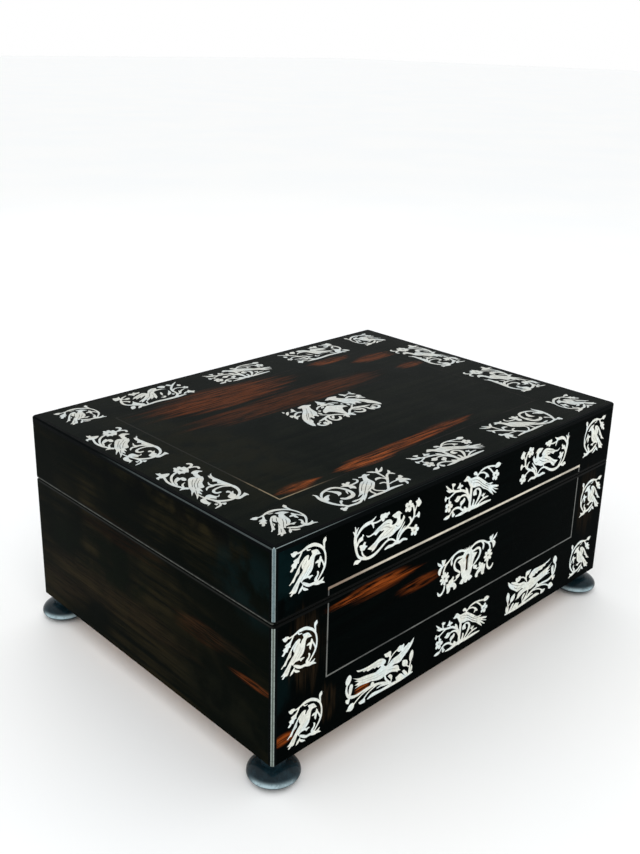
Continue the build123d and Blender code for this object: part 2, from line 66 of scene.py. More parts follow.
# The ornament, drawn in millimetres. Each motif has bands that swell and taper along a line of
# (x, y, width) points, leaves and birds drawn as closed outlines, flowers of (x, y, radius, petals,
# hole radius), and engraved lines. Holes are cut out of a flower or leaf, and a motif with a mirror is
# drawn again on the other side of that x. It is set by the middle of its own outline.
MOTIFS = {
    "corner": {
        "bands": [
            [(14, 117.6, 1.6), (16.5, 116.5, 0.9), (20, 116.9, 1.1), (22.5, 117.6, 1.6), (25, 117.7, 2),
             (27.5, 117.4, 1.9), (30, 116.2, 1.7), (32.5, 114.4, 1.5), (34.3, 112, 1.2), (35.3, 109, 1.1),
             (35.5, 106, 1.1), (35, 103, 1.4), (33.8, 100.5, 1.3), (32, 98.3, 1.1), (30.3, 96.4, 1)],
            [(22.3, 117.2, 0.8), (23, 115.9, 0.8), (25, 115.6, 0.5)],
            [(34.4, 111.8, 1), (34.3, 114, 1), (34.1, 116, 1.5), (34.6, 117.5, 2.4), (35, 118.4, 1.2)],
            [(20.2, 98.8, 1.2), (22.3, 97.3, 1.8), (24.5, 96, 1.7), (27.5, 95.8, 1.6), (30, 95.1, 2.2),
             (32.2, 94.9, 2), (34.2, 96.4, 0.7)],
            [(31.5, 94.9, 2), (33.3, 94.4, 1.4), (35.1, 93.5, 0.5)],
            [(20.2, 97.5, 0.7), (19.3, 96.1, 1.5), (18.5, 95.2, 1.6), (17.5, 94.2, 0.5)],
            [(20, 96.4, 0.7), (21.5, 94.9, 1.6), (23.7, 93.9, 0.6)],
            [(31.3, 106.8, 1.6), (32.5, 107.2, 1.1), (33.6, 105.5, 1), (34.6, 103, 1)],
            [(28.8, 106.9, 0.8), (30, 107.1, 1.7), (31.3, 106.8, 1.6)],
            [(31.8, 109.4, 0.6), (31.9, 108.2, 1.8), (31.5, 106.8, 1.5)],
            [(31.2, 103.4, 0.5), (31, 104.9, 1.7), (31.5, 106.6, 1.4)],
        ],
        "leaves": [
            [(11.8, 118), (13, 118), (15, 118.1), (16, 117.7), (16.5, 116.8), (15.5, 116), (14, 115.3),
             (12.7, 116.2)],
            [(18.3, 116.6), (17.8, 115.2), (16.5, 114.1), (14.8, 113.8), (13.6, 113.3), (14.2, 112.2),
             (13.2, 112), (12.2, 111.2), (12.9, 109.9), (12.3, 109.2), (11.5, 108.4), (12.4, 107.7),
             (13.5, 108.1), (14.3, 109.1), (15.3, 108.8), (15.8, 109.8), (16.3, 111), (17.3, 110.8),
             (17.6, 112.6), (18.6, 114.4), (19.9, 116.6)],
            [(28.6, 95.9), (27.9, 97.6), (28.6, 98.8), (29.8, 99.8), (29.6, 101.9), (30.6, 101.6),
             (31.1, 100.6), (30.7, 99), (29.9, 97.6), (30.4, 95.9)],
        ],
        "birds": [
            [(25.4, 114.8), (27, 114.6), (29, 114.3), (30.2, 113.4), (31, 112.2), (31.9, 110.8),
             (30.3, 111), (28.8, 111.1), (28, 110.4), (27.6, 109), (27.3, 107), (26.9, 105), (26, 103.3),
             (24.8, 102.2), (23.8, 101.6), (25, 101.2), (26.5, 101), (27.3, 100.4), (26, 100),
             (24.6, 99.2), (23.8, 100.3), (22.2, 100.6), (20.3, 100.4), (19.3, 99), (18.4, 100.4),
             (17.6, 98.8), (16.5, 96.5), (15.5, 95.1), (14, 95.2), (12.8, 94.3), (11.8, 94.7), (13, 96.3),
             (12.2, 96.1), (11.2, 96.6), (12.6, 97.4), (14, 99), (16, 101.2), (17.5, 103), (19, 104.8),
             (20.1, 106), (19.6, 107), (19.2, 108), (19.2, 109.3), (18.6, 108.8), (18, 107),
             (17.6, 105.2), (16.8, 104.8), (15.5, 103.8), (14.8, 102.3), (14, 101.4), (13, 101.6),
             (11.7, 100.7), (11, 101), (12, 101.8), (13.2, 103), (15, 105.5), (16.5, 107.8),
             (17.6, 109.2), (18.5, 110.5), (19.8, 111.7), (21, 112.7), (22.5, 113.2), (23.6, 113.1),
             (24.1, 112.4), (23.6, 110.8), (23.9, 110), (24.3, 110.3), (25, 111.5), (26.2, 112.6),
             (25.8, 113.6)],
        ],
        "cuts": [
            [(22.8, 110.5), (20.8, 107.8), (18.8, 103.5)],
            [(24.2, 107.5), (22.3, 104.5), (19, 100.9)],
            [(25.6, 106.6), (24.3, 104.6), (22.4, 102.3)],
            [(21.2, 111.6), (19.2, 109.4), (16.2, 104.9)],
            [(16.9, 100.4), (14.6, 97.2)],
            [(29.6, 112.5), (29.9, 112.4)],
        ],
    },
    "perch": {
        "bands": [
            [(55.9, 117.4, 0.5), (56.4, 115.4, 1.2), (56.4, 113, 1.8), (56.3, 110, 2.3), (56.8, 106, 2),
             (57.8, 102, 1.5), (59.2, 99.3, 1.5), (61.5, 97.6, 1.6), (64.5, 96.3, 1.7), (68, 95.8, 1.9),
             (71, 96.2, 1.9), (74, 97.3, 1.7), (77, 99, 1.5), (80, 100.6, 1.3), (82.5, 101, 1.2),
             (85, 100.3, 1.1), (87, 98.8, 1), (88.3, 97.8, 1)],
            [(58.4, 116.3, 0.5), (57.3, 115, 1), (56.5, 112.8, 1.4)],
            [(54.6, 115, 0.5), (55.5, 113.9, 1), (56.2, 112.2, 1.4)],
            [(57, 110.8, 1.1), (59, 113.5, 1.6), (61.5, 115.4, 1.9), (64.5, 116.2, 2.2),
             (67.5, 116.4, 1.9), (69.5, 117.2, 1.2), (71.2, 118.3, 0.5)],
            [(67, 116.3, 1.5), (68.6, 115.3, 1.5), (69.4, 113.9, 1.3), (69.7, 112.4, 0.7)],
            [(68.6, 115.4, 1), (70.6, 114.9, 1), (72.8, 114.8, 1), (75.4, 115.2, 1)],
            [(61.5, 102.4, 0.9), (61.8, 100.5, 1.1), (63, 98.5, 1.1), (64.8, 96.8, 1.1)],
            [(81.9, 103.2, 0.9), (81.3, 100.9, 0.8)],
            [(79.5, 96.3, 1), (82, 96.9, 1.9), (85, 96.6, 1.6), (88, 97.2, 2.1), (91, 96.6, 1.8),
             (94, 97.2, 1.6), (97, 96.1, 0.9)],
            [(89.3, 97.6, 1.5), (91.5, 101, 1.6), (94.5, 102.8, 1.5), (97.5, 104, 1.5), (100.3, 106, 1.5),
             (101.8, 108.2, 1.5), (102, 110.5, 1.4), (101.5, 113, 1.3), (100.8, 115, 1.2)],
            [(101.8, 109.7, 1), (102.8, 112, 1), (103.6, 114.2, 1)],
            [(101.4, 107.6, 0.9), (103.5, 107.9, 0.9), (104.6, 107.9, 1)],
            [(93.3, 102.2, 1), (97, 103.1, 1.1), (99.5, 102.1, 1), (102, 100.6, 1)],
            [(88.6, 97.9, 0.9), (89.3, 101.5, 1.1), (91.5, 104, 1.3), (94.4, 107.5, 0.5)],
            [(90, 99.6, 0.9), (92, 102.4, 1.5), (95, 104.8, 0.5)],
        ],
        "leaves": [
            [(60.2, 97.3), (58.5, 97.7), (57, 97.9), (56, 97), (55.6, 95.7), (57, 95.7), (58.5, 95.1),
             (59.8, 95.6), (61.4, 96.4), (61.8, 98)],
            [(57.2, 106.2), (57.9, 108.2), (59.3, 109.9), (61.2, 110.4), (61.7, 111.6), (62.8, 110.5),
             (61.9, 109.4), (62.4, 108), (60.8, 107.6), (59.2, 107), (58.4, 105.5), (57, 104)],
            [(74.5, 117.3), (75.4, 118.2), (77, 118), (78.3, 118.2), (79.5, 117.6), (81.5, 117.8),
             (82, 116.5), (80.5, 115.8), (80, 114.6), (78.5, 114.9), (77.6, 113.5), (76.3, 113.8),
             (75.5, 115.2), (74.8, 116)],
            [(59.3, 105.2), (60.6, 105.6), (61.8, 105.2), (63, 106.6), (64.4, 106), (63.9, 104.4),
             (65.7, 103.2), (64.3, 102.5), (63.4, 101.6), (61.9, 101.9), (60.4, 102.4), (60, 104)],
            [(102.4, 117), (103.8, 117.2), (105, 118.5), (106.2, 117), (107.5, 114.8), (106.5, 113.5),
             (105.3, 112.9), (103.9, 113.6), (103.4, 115.2)],
            [(104, 108.1), (105.5, 109.9), (106.4, 109.4), (106.8, 107.8), (106.4, 106), (105.3, 106.4)],
            [(97, 109.3), (98.7, 109.2), (99.9, 107.7), (100.4, 106.6), (100.4, 105.2), (98.6, 104.4),
             (98.8, 106.6), (98.2, 108.2)],
        ],
        "flowers": [(97.3, 115.6, 3.6, 5, 0.6), (103.1, 99.4, 3.5, 5, 0.6)],
        "birds": [
            [(64.2, 110), (65.5, 109.2), (67.5, 108.8), (70, 109.6), (72.5, 110.9), (75, 111.9),
             (77.5, 112.9), (80, 113.3), (82, 113.1), (83.8, 112), (84.5, 110.6), (83.8, 109.4),
             (85, 109), (86.8, 109.2), (88, 110.4), (87.8, 111.8), (86.8, 112.2), (85.5, 112.9),
             (84.7, 113.7), (83.7, 114.3), (84.8, 115), (86.3, 115.2), (87.5, 115.6), (89.3, 115.5),
             (90.4, 114.8), (91.9, 113.2), (90.6, 113.4), (90.5, 111.5), (90.9, 109.8), (92, 109.8),
             (93, 112), (94.3, 110.5), (93.8, 109), (92.5, 106.8), (90.5, 105), (88, 104.3), (85.5, 103),
             (83, 102.5), (81, 102.8), (78.5, 103), (76, 102.6), (74, 101.8), (72.5, 100.3), (70.8, 99),
             (69, 98.6), (69.2, 99.6), (67.5, 100.4), (65.7, 101.3), (66.5, 101.7), (69, 102.6),
             (71.5, 103.8), (73.5, 105.2), (75.5, 106.6), (77.7, 107.6), (78, 108.4), (76, 108.2),
             (75, 108.8), (73.5, 108.2), (71.5, 107.3), (70.5, 108.2), (67, 107.9), (65.2, 108.5)],
        ],
        "cuts": [
            [(68, 109), (73.5, 110.2), (79.5, 111.3), (82.5, 110.4)],
            [(73, 109), (78.5, 109.8), (83, 108)],
            [(84, 107.8), (80, 106.6), (75.5, 104)],
            [(86.5, 107.4), (82, 104.9), (77.5, 104.2)],
            [(72.6, 102.9), (69.3, 100.7)],
            [(87, 114), (87.4, 114)],
            [(91.3, 107.2), (89, 106.6), (87.4, 107.8)],
        ],
    },
    "trunk": {
        "bands": [
            [(152.5, 110.6, 2), (152.4, 107, 2.2), (152.2, 103, 2.3), (152, 99, 2.3), (152.3, 96.6, 3.2)],
            [(139.4, 96.3, 0.8), (144, 96.2, 1.9), (149, 96.8, 2.3), (154, 96.9, 2.8), (160, 96.3, 2),
             (166, 96.4, 1.9), (172.3, 96.1, 0.8)],
            [(151.7, 103.2, 1.4), (150.2, 106.5, 1.5), (147.5, 109, 1.5), (144.5, 110.8, 1.5),
             (141, 111.7, 1.5), (138, 112.3, 1.5), (134, 113.9, 1.3), (131.5, 115.7, 1.4),
             (129, 118.3, 0.5)],
            [(135, 113.4, 1), (132.5, 113.8, 1.5), (129.8, 115.3, 0.5)],
            [(137, 112.7, 0.8), (135.5, 114.3, 1), (135.2, 116, 1)],
            [(143.2, 111.3, 0.9), (141.9, 113, 1), (141.4, 114.3, 1.6)],
            [(141.4, 116.4, 0.6), (141.4, 115.2, 1.8), (141.7, 113.6, 1.2)],
            [(139.4, 113.8, 0.6), (140.6, 114.1, 1.7), (141.8, 113.8, 1.2)],
            [(144.3, 113.7, 0.6), (143, 114.1, 1.7), (141.8, 113.8, 1.2)],
            [(138.2, 112.1, 1.1), (135, 110.9, 1), (132.5, 110, 1), (130.2, 110.4, 1)],
            [(132.8, 110.3, 0.9), (132.5, 108.2, 0.9), (132.7, 106.5, 1)],
            [(151.7, 101.6, 1.3), (149.8, 105, 1.3), (147.5, 107, 1.3), (144.5, 107.6, 1.2),
             (142.3, 107.2, 1.1)],
            [(149.4, 96.9, 1.5), (145.5, 98.3, 1.4), (143, 100.3, 1.4), (140.5, 101.3, 1.4),
             (138, 101.4, 1.4), (135.5, 100.3, 1.2), (133.8, 98.4, 1)],
            [(143.2, 100.1, 0.9), (143.8, 101.4, 1), (144.6, 102.6, 1.2)],
            [(135.8, 100.4, 0.9), (137, 99.3, 1.2)],
            [(156, 96.9, 1), (157.8, 98.5, 1.2), (160, 101, 1.8), (161.5, 103.7, 2.2), (161, 106, 1.6),
             (159, 107.6, 1.2), (157, 107.8, 1)],
            [(158.8, 96.9, 0.9), (162.5, 98.7, 1.1), (165.8, 99.6, 1.3), (169.5, 99.5, 0.6)],
            [(164.6, 99.4, 0.8), (164.6, 101.2, 1.1), (164.4, 102.8, 0.8)],
            [(163, 102.2, 0.6), (164.5, 101.4, 1.3), (166.2, 102.3, 0.6)],
            [(157, 115.7, 1.2), (159, 117.2, 1.2), (161, 118.4, 1.2), (164, 119, 1.2),
             (167.3, 118.9, 1.2), (170.5, 118.4, 1.1), (174.2, 117.4, 1)],
            [(166.6, 118.8, 0.9), (169.2, 117, 1), (171.5, 114.8, 1), (173.4, 112.6, 1)],
            [(159.3, 117.2, 0.9), (163, 116.6, 1), (165.4, 115.2, 1), (166.9, 113.6, 1.2)],
            [(168.6, 112.4, 0.6), (167.4, 113.2, 1.7), (166, 115, 1.1)],
            [(165.2, 112.2, 0.6), (166.2, 113.3, 1.6), (166.2, 114.8, 1.1)],
        ],
        "leaves": [
            [(133.9, 118), (135.5, 118), (137.6, 117), (136.6, 116), (134.8, 115.7)],
            [(147, 112), (148.3, 111.2), (149.6, 109.4), (150.2, 107), (149, 107.6), (147.4, 109.2)],
            [(129.3, 112.1), (130.3, 110.9), (130.2, 109.2), (129.4, 108.4), (128.4, 110)],
            [(142.7, 107.8), (141.4, 108.4), (139.8, 108.6), (138.6, 107.3), (137.3, 106.8),
             (138.6, 105.6), (140.2, 104.9), (141.8, 105.5), (142.8, 106.6)],
            [(133.9, 98.9), (132, 99.1), (130, 98.8), (128.4, 97.8), (130.3, 97), (132.5, 96.9),
             (134, 97.6)],
            [(135.8, 99.4), (137, 99.3), (138.8, 97.8), (137.8, 96.6), (136.4, 96.8)],
            [(143.2, 102), (142.8, 103.3), (143.6, 104.4), (145.3, 104.8), (146.3, 105.8), (147.4, 104.6),
             (146.9, 103), (145.5, 102.2), (144.2, 101.7)],
            [(146.2, 98.2), (147, 100), (147.9, 99.6), (148.9, 98.8), (150.2, 97.2)],
            [(157.4, 108.2), (155.6, 107.7), (154.5, 106.3), (155, 104.3), (156.5, 104), (158.2, 104),
             (157.7, 106)],
            [(153.5, 97.6), (154.8, 100), (155, 102), (156.3, 101.5), (156.3, 99.8), (155.8, 97.6)],
            [(174.1, 118), (176, 119), (178, 118.8), (179.9, 117.3), (178.5, 116), (176, 115.7),
             (174.3, 116.5)],
            [(153.5, 118.6), (154.6, 119.4), (156.2, 119), (157.4, 117.6), (158.3, 116), (157.2, 115.8),
             (156, 117), (154.6, 117.2)],
        ],
        "flowers": [(132.6, 104.2, 3.6, 5, 0.7), (175.3, 111.2, 3.5, 5, 0.7)],
        "birds": [
            [(144.6, 116.6), (146.2, 117.6), (147.7, 118.8), (150, 117.6), (151.5, 116.3), (153.5, 116.1),
             (156, 116.1), (158, 115.6), (160.5, 114), (163, 112.3), (165.5, 110.5), (167.5, 108.8),
             (169.5, 107.8), (171.5, 107.7), (173.3, 107.2), (172, 106.6), (170.5, 106.8), (173, 105.7),
             (176, 104.9), (179.5, 103.5), (178.5, 102.9), (176, 103.4), (174, 103.9), (176.5, 102.5),
             (179.2, 101.3), (178, 101.2), (175.5, 102.3), (173.2, 103.4), (175.5, 101.2), (177.8, 99.2),
             (176.8, 99.3), (174.5, 100.8), (172.4, 102.6), (173.6, 100.8), (174.8, 98.5), (173.3, 99.6),
             (171, 101.4), (169, 103.2), (166.5, 104.8), (164, 106), (161.5, 108), (159, 109),
             (156.5, 109.2), (154.5, 109.5), (153.2, 110), (151.5, 110.8), (150.6, 112), (149.6, 113.7),
             (148.8, 115), (147.5, 115.6), (146, 115.8)],
        ],
        "cuts": [
            [(153, 114.6), (158, 113.4), (163.5, 109.2), (169.4, 105.6)],
            [(154, 112.6), (158.8, 111.3), (164, 107.4), (170, 103.6)],
            [(151.6, 114.9), (153, 112.6)],
            [(166, 108.8), (171, 106.1)],
            [(148.2, 117.1), (148.6, 117.1)],
        ],
    },
    "flight": {
        "bands": [
            [(89.2, 24.2, 0.8), (91.5, 26.3, 0.9), (95, 27.5, 1)],
            [(55.4, 24.2, 1), (54.3, 21, 1.5), (54.7, 18, 1.6), (56.3, 15.2, 2), (58.8, 13.7, 1.9),
             (62, 13, 1.7), (66, 13.2, 1.6), (70, 13.4, 1.6), (74.5, 13.2, 1.7), (79, 12.3, 1.7),
             (83, 11, 1.6), (87, 9.2, 1.6), (90.5, 7.2, 1.6)],
            [(75.5, 12.9, 1.2), (70, 12.2, 1), (66, 11.2, 1), (62.5, 9.5, 1), (60, 7.8, 1)],
            [(80.5, 12.1, 1.1), (75.5, 11.3, 1), (71.5, 10, 1), (68, 7.6, 1)],
            [(71.4, 6.2, 0.8), (75, 7, 2.4), (82, 6.4, 1.8), (91, 6.1, 2.2), (100, 5.6, 1.5),
             (109, 6, 1)],
            [(79, 9.5, 0.6), (82, 9.7, 1.2), (85, 8.9, 1.2), (88, 8, 0.9)],
            [(90.2, 7.6, 1.4), (87.3, 10.5, 1.4), (85.6, 13, 1.3), (85.1, 15.2, 1.2)],
            [(90.4, 7.5, 0.9), (91, 10.4, 1)],
            [(105.9, 5.6, 1), (106.1, 9, 1.2), (106.6, 12, 1.1), (107.2, 15, 1)],
            [(106.2, 11, 0.8), (104.6, 12, 0.8), (103.2, 13.6, 1)],
        ],
        "leaves": [
            [(83.7, 29.5), (86, 29.3), (88.6, 29.4), (89.5, 28.6), (89.4, 26.5), (90, 24.8), (88, 22),
             (86.6, 20.6), (88, 24.5), (87.8, 26), (86.5, 26.3), (85, 27)],
            [(94.7, 28.1), (97, 29.2), (98.8, 28.6), (100, 29.2), (100.6, 28), (99.8, 26.3), (98.3, 25.3),
             (96.2, 25.4), (94.5, 26.8)],
            [(54.9, 28.4), (56.2, 29), (57.5, 28), (58, 26.3), (57.2, 24.3), (56, 22.8), (54, 23.6),
             (53.4, 25.6)],
            [(57, 22.3), (58.5, 22.3), (59.3, 21), (58.8, 18.5), (58.3, 16.5), (57.2, 14.6), (56.4, 16.2),
             (56.2, 19.5)],
            [(53.9, 14), (55.3, 13.9), (57.6, 14.1), (56.9, 11.8), (56.4, 10.5), (55, 11.2), (54, 12.6)],
            [(60.3, 9.3), (58.5, 9.8), (56.9, 9.2), (55.6, 7.5), (54.6, 6.4), (56.5, 5.6), (58.5, 5),
             (60.2, 5.8), (60.8, 7.5)],
            [(67.2, 8), (65.5, 7.7), (64.2, 7.5), (65.2, 5.9), (67, 5.3), (69.3, 5.2), (69.6, 6.5),
             (68.9, 8.6)],
            [(73.5, 14.8), (74.6, 15.8), (75.9, 15.3), (76.8, 12.8), (74.4, 12.8)],
            [(87.6, 13.2), (89.2, 13.7), (91, 12.6), (91.8, 11), (90.4, 10)],
            [(94.4, 9.2), (96, 9.4), (97.8, 10), (99.7, 9.3), (100.8, 8.2), (103, 6.2), (97, 5.8),
             (95.2, 7)],
            [(99.8, 10.8), (101.5, 11), (103, 9.6), (104.6, 7.8), (105.6, 6), (102.8, 6.5), (101.2, 8.6)],
            [(108.2, 21.4), (109, 19.5), (108.8, 16.5), (107.5, 14), (106.3, 14.5), (105.6, 17),
             (106.1, 19.8), (107.2, 21.2)],
            [(99.9, 18), (101.7, 17.6), (103.7, 16.5), (104.5, 14.7), (104, 13), (102.7, 12.8),
             (100.8, 13.6), (99.6, 15.5)],
            [(108, 11.8), (108.8, 10), (108.6, 8), (107.6, 6.2), (106, 6.2), (106.6, 9)],
        ],
        "birds": [
            [(61.7, 29.4), (64, 28.5), (67, 28), (71, 27.7), (76, 27.9), (80, 28.1), (82.5, 27.3),
             (84.3, 26), (85.4, 24.5), (85, 23.3), (83.6, 22.8), (84.5, 21.6), (85.5, 20.9), (86.2, 18.8),
             (84, 18.6), (81.6, 20.6), (79.5, 21.5), (77.5, 20.9), (82.3, 22.1), (80.8, 23), (79, 22.9),
             (78.2, 24), (76.2, 23.6), (75, 24.6), (72.5, 24.5), (70.5, 24.6), (69.5, 25.7), (67.5, 25.6),
             (66.5, 26.8), (64.5, 27.2), (62.6, 28)],
            [(58.6, 25.9), (61, 24.6), (64, 23.4), (68, 22.8), (71, 22.2), (74, 21.6), (77.5, 20.9),
             (79.5, 21.5), (82.5, 22.6), (85.5, 20.9), (88, 21.4), (91, 23), (96.5, 23.8), (99.5, 26.2),
             (101.7, 26.8), (103, 27.2), (104.7, 28), (105.4, 27), (108.9, 29.5), (108, 26.5),
             (105.5, 23.5), (102, 21), (99.5, 19.4), (98.5, 18.4), (95, 18.3), (92.5, 18.8), (91, 18),
             (93, 17.8), (95.5, 17), (96.8, 15.5), (97.2, 13.8), (98.5, 12.3), (95.8, 12.9), (96.3, 11.9),
             (94.5, 13), (92.5, 14), (90, 14.8), (87, 14.9), (84.6, 14.6), (82, 14.3), (79, 14.8),
             (76.5, 15.6), (74, 16.6), (71, 17), (68, 17.6), (65, 18), (60.6, 18), (63.6, 19),
             (60.5, 20.3), (63.8, 20.9), (60.5, 22.9), (63, 22.6)],
        ],
        "cuts": [
            [(82, 26), (77, 26.3), (71, 26.2), (66, 27)],
            [(81.6, 24.3), (77.6, 25), (74, 25.4)],
            [(86, 19), (79, 18.6), (72, 19.8), (64, 21.6)],
            [(84, 17), (78, 17), (72, 18.3), (65.6, 19.4)],
            [(90, 20.6), (96, 22), (101.4, 24.6), (105.6, 27)],
            [(92, 19.9), (97.6, 20.4), (101.6, 22.8)],
            [(87, 17.6), (91, 16.6), (93.6, 15.6)],
            [(94.6, 14.9), (95, 14.9)],
        ],
    },
    "lockplate": {
        "mirror": 154.6,
        "bands": [
            [(151, 66.9, 1.3), (148, 67, 1.6), (145.8, 67.4, 1.6), (143.5, 66.7, 1.6), (142.3, 64.5, 1.7),
             (142.6, 62.3, 1.7), (144, 60.2, 1.6), (146.2, 58.5, 1.4), (148.4, 56.8, 1.2)],
            [(152.4, 68.9, 1.3), (151.5, 69.7, 1.4), (149, 71, 1.5), (146, 71.5, 1.6), (142.5, 71, 1.4),
             (139.5, 70, 1.2), (136.5, 68.2, 1.2), (134, 67.3, 1.2), (131.3, 67.5, 1.1)],
            [(136.8, 68.2, 1), (134.3, 66.5, 1.3), (132.8, 64, 1.5), (132.7, 62, 1.5), (133.3, 60, 1.3)],
            [(134.6, 55.4, 1.3), (134.3, 52.5, 1.5), (133.4, 50, 1.6), (131.3, 48.5, 1.7),
             (129.3, 49.2, 1.6), (128.4, 50.8, 1)],
            [(146, 54.4, 0.9), (144.6, 53.2, 1), (142, 53.4, 1)],
        ],
        "leaves": [
            [(154.8, 71.4), (153.9, 70.2), (153.2, 71.7), (152.5, 70.2), (151.4, 71.7), (151.2, 70.2),
             (152.3, 69.3), (150.9, 68.6), (150, 67.2), (149.5, 66), (147.4, 65.4), (145.3, 64.6),
             (146.6, 63.3), (148, 61.5), (148.8, 59.3), (149, 57), (149.5, 55), (150.3, 53), (151, 51.7),
             (149.5, 50.7), (148.4, 49.3), (150, 48.3), (151.8, 47.9), (152.8, 49.2), (154, 47.6),
             (154.8, 47.8)],
            [(144.5, 55.8), (145.8, 56.2), (147.5, 56.5), (148.6, 56), (147.8, 54.4), (146, 53.7),
             (144.6, 54.4)],
            [(131.3, 67), (129.9, 67.6), (128.5, 67.9), (127, 69.4), (126.4, 71.4), (128.5, 69.9),
             (130.2, 68.8)],
            [(131.8, 67.2), (130.6, 69), (130.2, 71.6), (132, 71), (134, 70.8), (133.4, 68.6)],
            [(131.2, 67.9), (128.6, 66.6), (127.4, 65), (128.2, 62.7), (129.5, 61.7), (130, 63.5),
             (130.9, 65.5), (132.4, 67)],
            [(141.6, 70.9), (139, 68.5), (138.7, 66), (139.7, 64.1), (140.5, 65.5), (140.3, 67.8),
             (142.2, 70.2)],
            [(136, 53.6), (137.8, 53.3), (138.3, 54.8), (140.5, 55.5), (141.7, 56.8), (142.9, 55.8),
             (142.3, 54), (141.8, 52.9), (143.5, 52), (145, 50.5), (145.8, 48.6), (144.7, 47.2),
             (143, 47.3), (142.9, 48.8), (141.5, 49.7), (140, 50), (139.8, 48.2), (138.3, 46.8),
             (136.8, 47.2), (136.8, 49.3), (136.2, 51.2)],
        ],
        "flowers": [(134, 58.2, 4.3, 8, 0.8)],
        "cuts": [
            [(133.8, 53.6), (136.2, 52.4)],
            [(141, 54.4), (141.7, 55.8)],
            [(151.5, 66.2), (150.4, 62.2), (151.1, 57.8)],
            [(138.6, 48.6), (139.4, 51.6)],
        ],
    },
    "bough": {
        "bands": [
            [(54.3, 7.9, 0.8), (57, 8.6, 1.4), (60, 8.7, 1.6), (64, 8.2, 1.6), (67, 8.4, 1.6),
             (70, 9.8, 1.4), (74, 12, 1.2)],
            [(59.4, 8.7, 1.6), (58, 10.5, 1.6), (56, 13.5, 1.8), (54.5, 17, 2), (53.8, 20.5, 2.2),
             (53.4, 23, 2), (53.9, 26, 1.8), (54.6, 28.5, 1.4), (54, 30.4, 0.5)],
            [(54, 22.6, 1.2), (55.3, 24.9, 1.2), (57, 27, 1.5), (59.5, 28.9, 1.6), (62, 29.7, 1.8),
             (65, 30.2, 1.8), (68, 29.8, 1.8), (70.3, 28, 1.8), (71.7, 25, 1.9), (72.2, 22, 2),
             (71.8, 18.8, 2.2), (70, 16.4, 2.5), (67, 15.6, 2.6), (64, 16, 2.1), (62.7, 17.4, 2)],
            [(71.6, 22.8, 1), (70.3, 21.4, 1.1), (69.1, 19.1, 0.4)],
            [(57.9, 10.8, 0.9), (58.3, 13.5, 1), (60.3, 15.4, 1.8)],
            [(73.6, 27.4, 1.2), (75.6, 27, 1.6), (77.8, 26, 1.3), (81, 26, 1.3), (84, 26.7, 1.3),
             (85.2, 28.5, 1.3), (84.2, 30.2, 1)],
            [(81.6, 15.4, 1.2), (80.2, 12.8, 1.2), (80.3, 10.5, 1.2), (79.8, 8.8, 1.2)],
            [(84, 15.2, 1.2), (83.3, 13, 1.2), (84.5, 11, 1.2), (86.8, 9.2, 1.2)],
            [(73.3, 8.3, 0.8), (78, 8.7, 1.9), (85, 8.3, 1.6), (92, 8.8, 1.9), (99.6, 8, 0.8)],
            [(89.3, 8.7, 1.5), (93, 12.5, 1.5), (96, 15.5, 1.5), (99.5, 19, 1.5), (102.5, 22, 1.4),
             (105.4, 23.2, 1.2)],
            [(98.8, 18.6, 1), (99.8, 23, 1.2), (100.2, 26, 1.3), (100.6, 28.6, 1.6)],
            [(100.4, 28, 1.4), (98.8, 30, 1.8), (96.6, 31.7, 0.5)],
            [(100.4, 27.6, 1.2), (102.4, 29.6, 1.7), (104.6, 32.1, 0.5)],
            [(100.6, 27.6, 1.2), (104, 28.2, 1.8), (108, 31.1, 0.5)],
            [(97.4, 16.7, 0.9), (98.1, 19.5, 1), (96.8, 21.7, 1.1)],
            [(91.2, 10.5, 0.9), (93.8, 13.2, 1.1), (94.6, 15.3, 1.2), (93.5, 16.7, 1.3), (91.4, 16.9, 1)],
            [(94.9, 13.2, 0.8), (98, 13.8, 1), (101.4, 13.8, 1)],
            [(104.6, 22.8, 1), (106.6, 24.3, 1.7), (107.5, 26.1, 0.5)],
            [(104.6, 23, 1), (106.2, 21.8, 1.6), (106.9, 20.1, 0.5)],
        ],
        "leaves": [
            [(53, 20.5), (55, 20), (57, 20.8), (58.3, 22.5), (59.8, 24), (61, 24.3), (60.3, 25.1),
             (58.5, 25), (56.8, 24.6), (55.3, 23.8), (53.6, 22.6)],
            [(62, 29.4), (64.3, 28), (66.2, 26), (67.4, 24.5), (67.4, 22.5), (66, 21.2), (63.4, 20.7),
             (64.4, 22.4), (64.3, 24.4), (63.8, 26.4)],
            [(73.6, 27), (72.3, 28.3), (74.6, 28.4), (75, 30), (76.6, 30.3), (76.9, 29), (79.3, 29.9),
             (80.3, 28.8), (79, 27.8), (77.5, 27), (78.5, 25), (78.5, 22.6), (77, 20.7), (76, 22.5),
             (74.5, 23), (75.3, 25.2)],
            [(92.3, 20.8), (93.3, 22.6), (95, 23.3), (97.4, 22.6), (97.2, 20.8), (94.5, 21.3)],
            [(101, 14.3), (102.5, 15.4), (105, 15.9), (106.5, 17.5), (107.9, 17), (107.8, 14.8),
             (105.6, 14.2), (107, 12.5), (108.1, 10.5), (107.5, 8.8), (106.3, 10), (105.3, 10.9),
             (104.8, 8.8), (103.6, 7), (102.1, 6.9), (103, 8.7), (103.1, 10), (101.2, 10.4),
             (100.8, 11.5), (102, 12.8)],
        ],
        "flowers": [(55, 8, 2.1, 3, 0)],
        "birds": [
            [(87.6, 29.4), (88.2, 30.4), (90, 29.7), (92, 30.8), (94.2, 30.9), (94, 29.9), (96, 29),
             (95, 28.3), (93.3, 28.3), (91.6, 26.7), (90.9, 24.5), (90.8, 22), (90.4, 20), (88.5, 18),
             (86, 16), (84.5, 15), (81.5, 15), (80, 14.4), (77.5, 13), (75, 11), (72, 9), (69.4, 7.5),
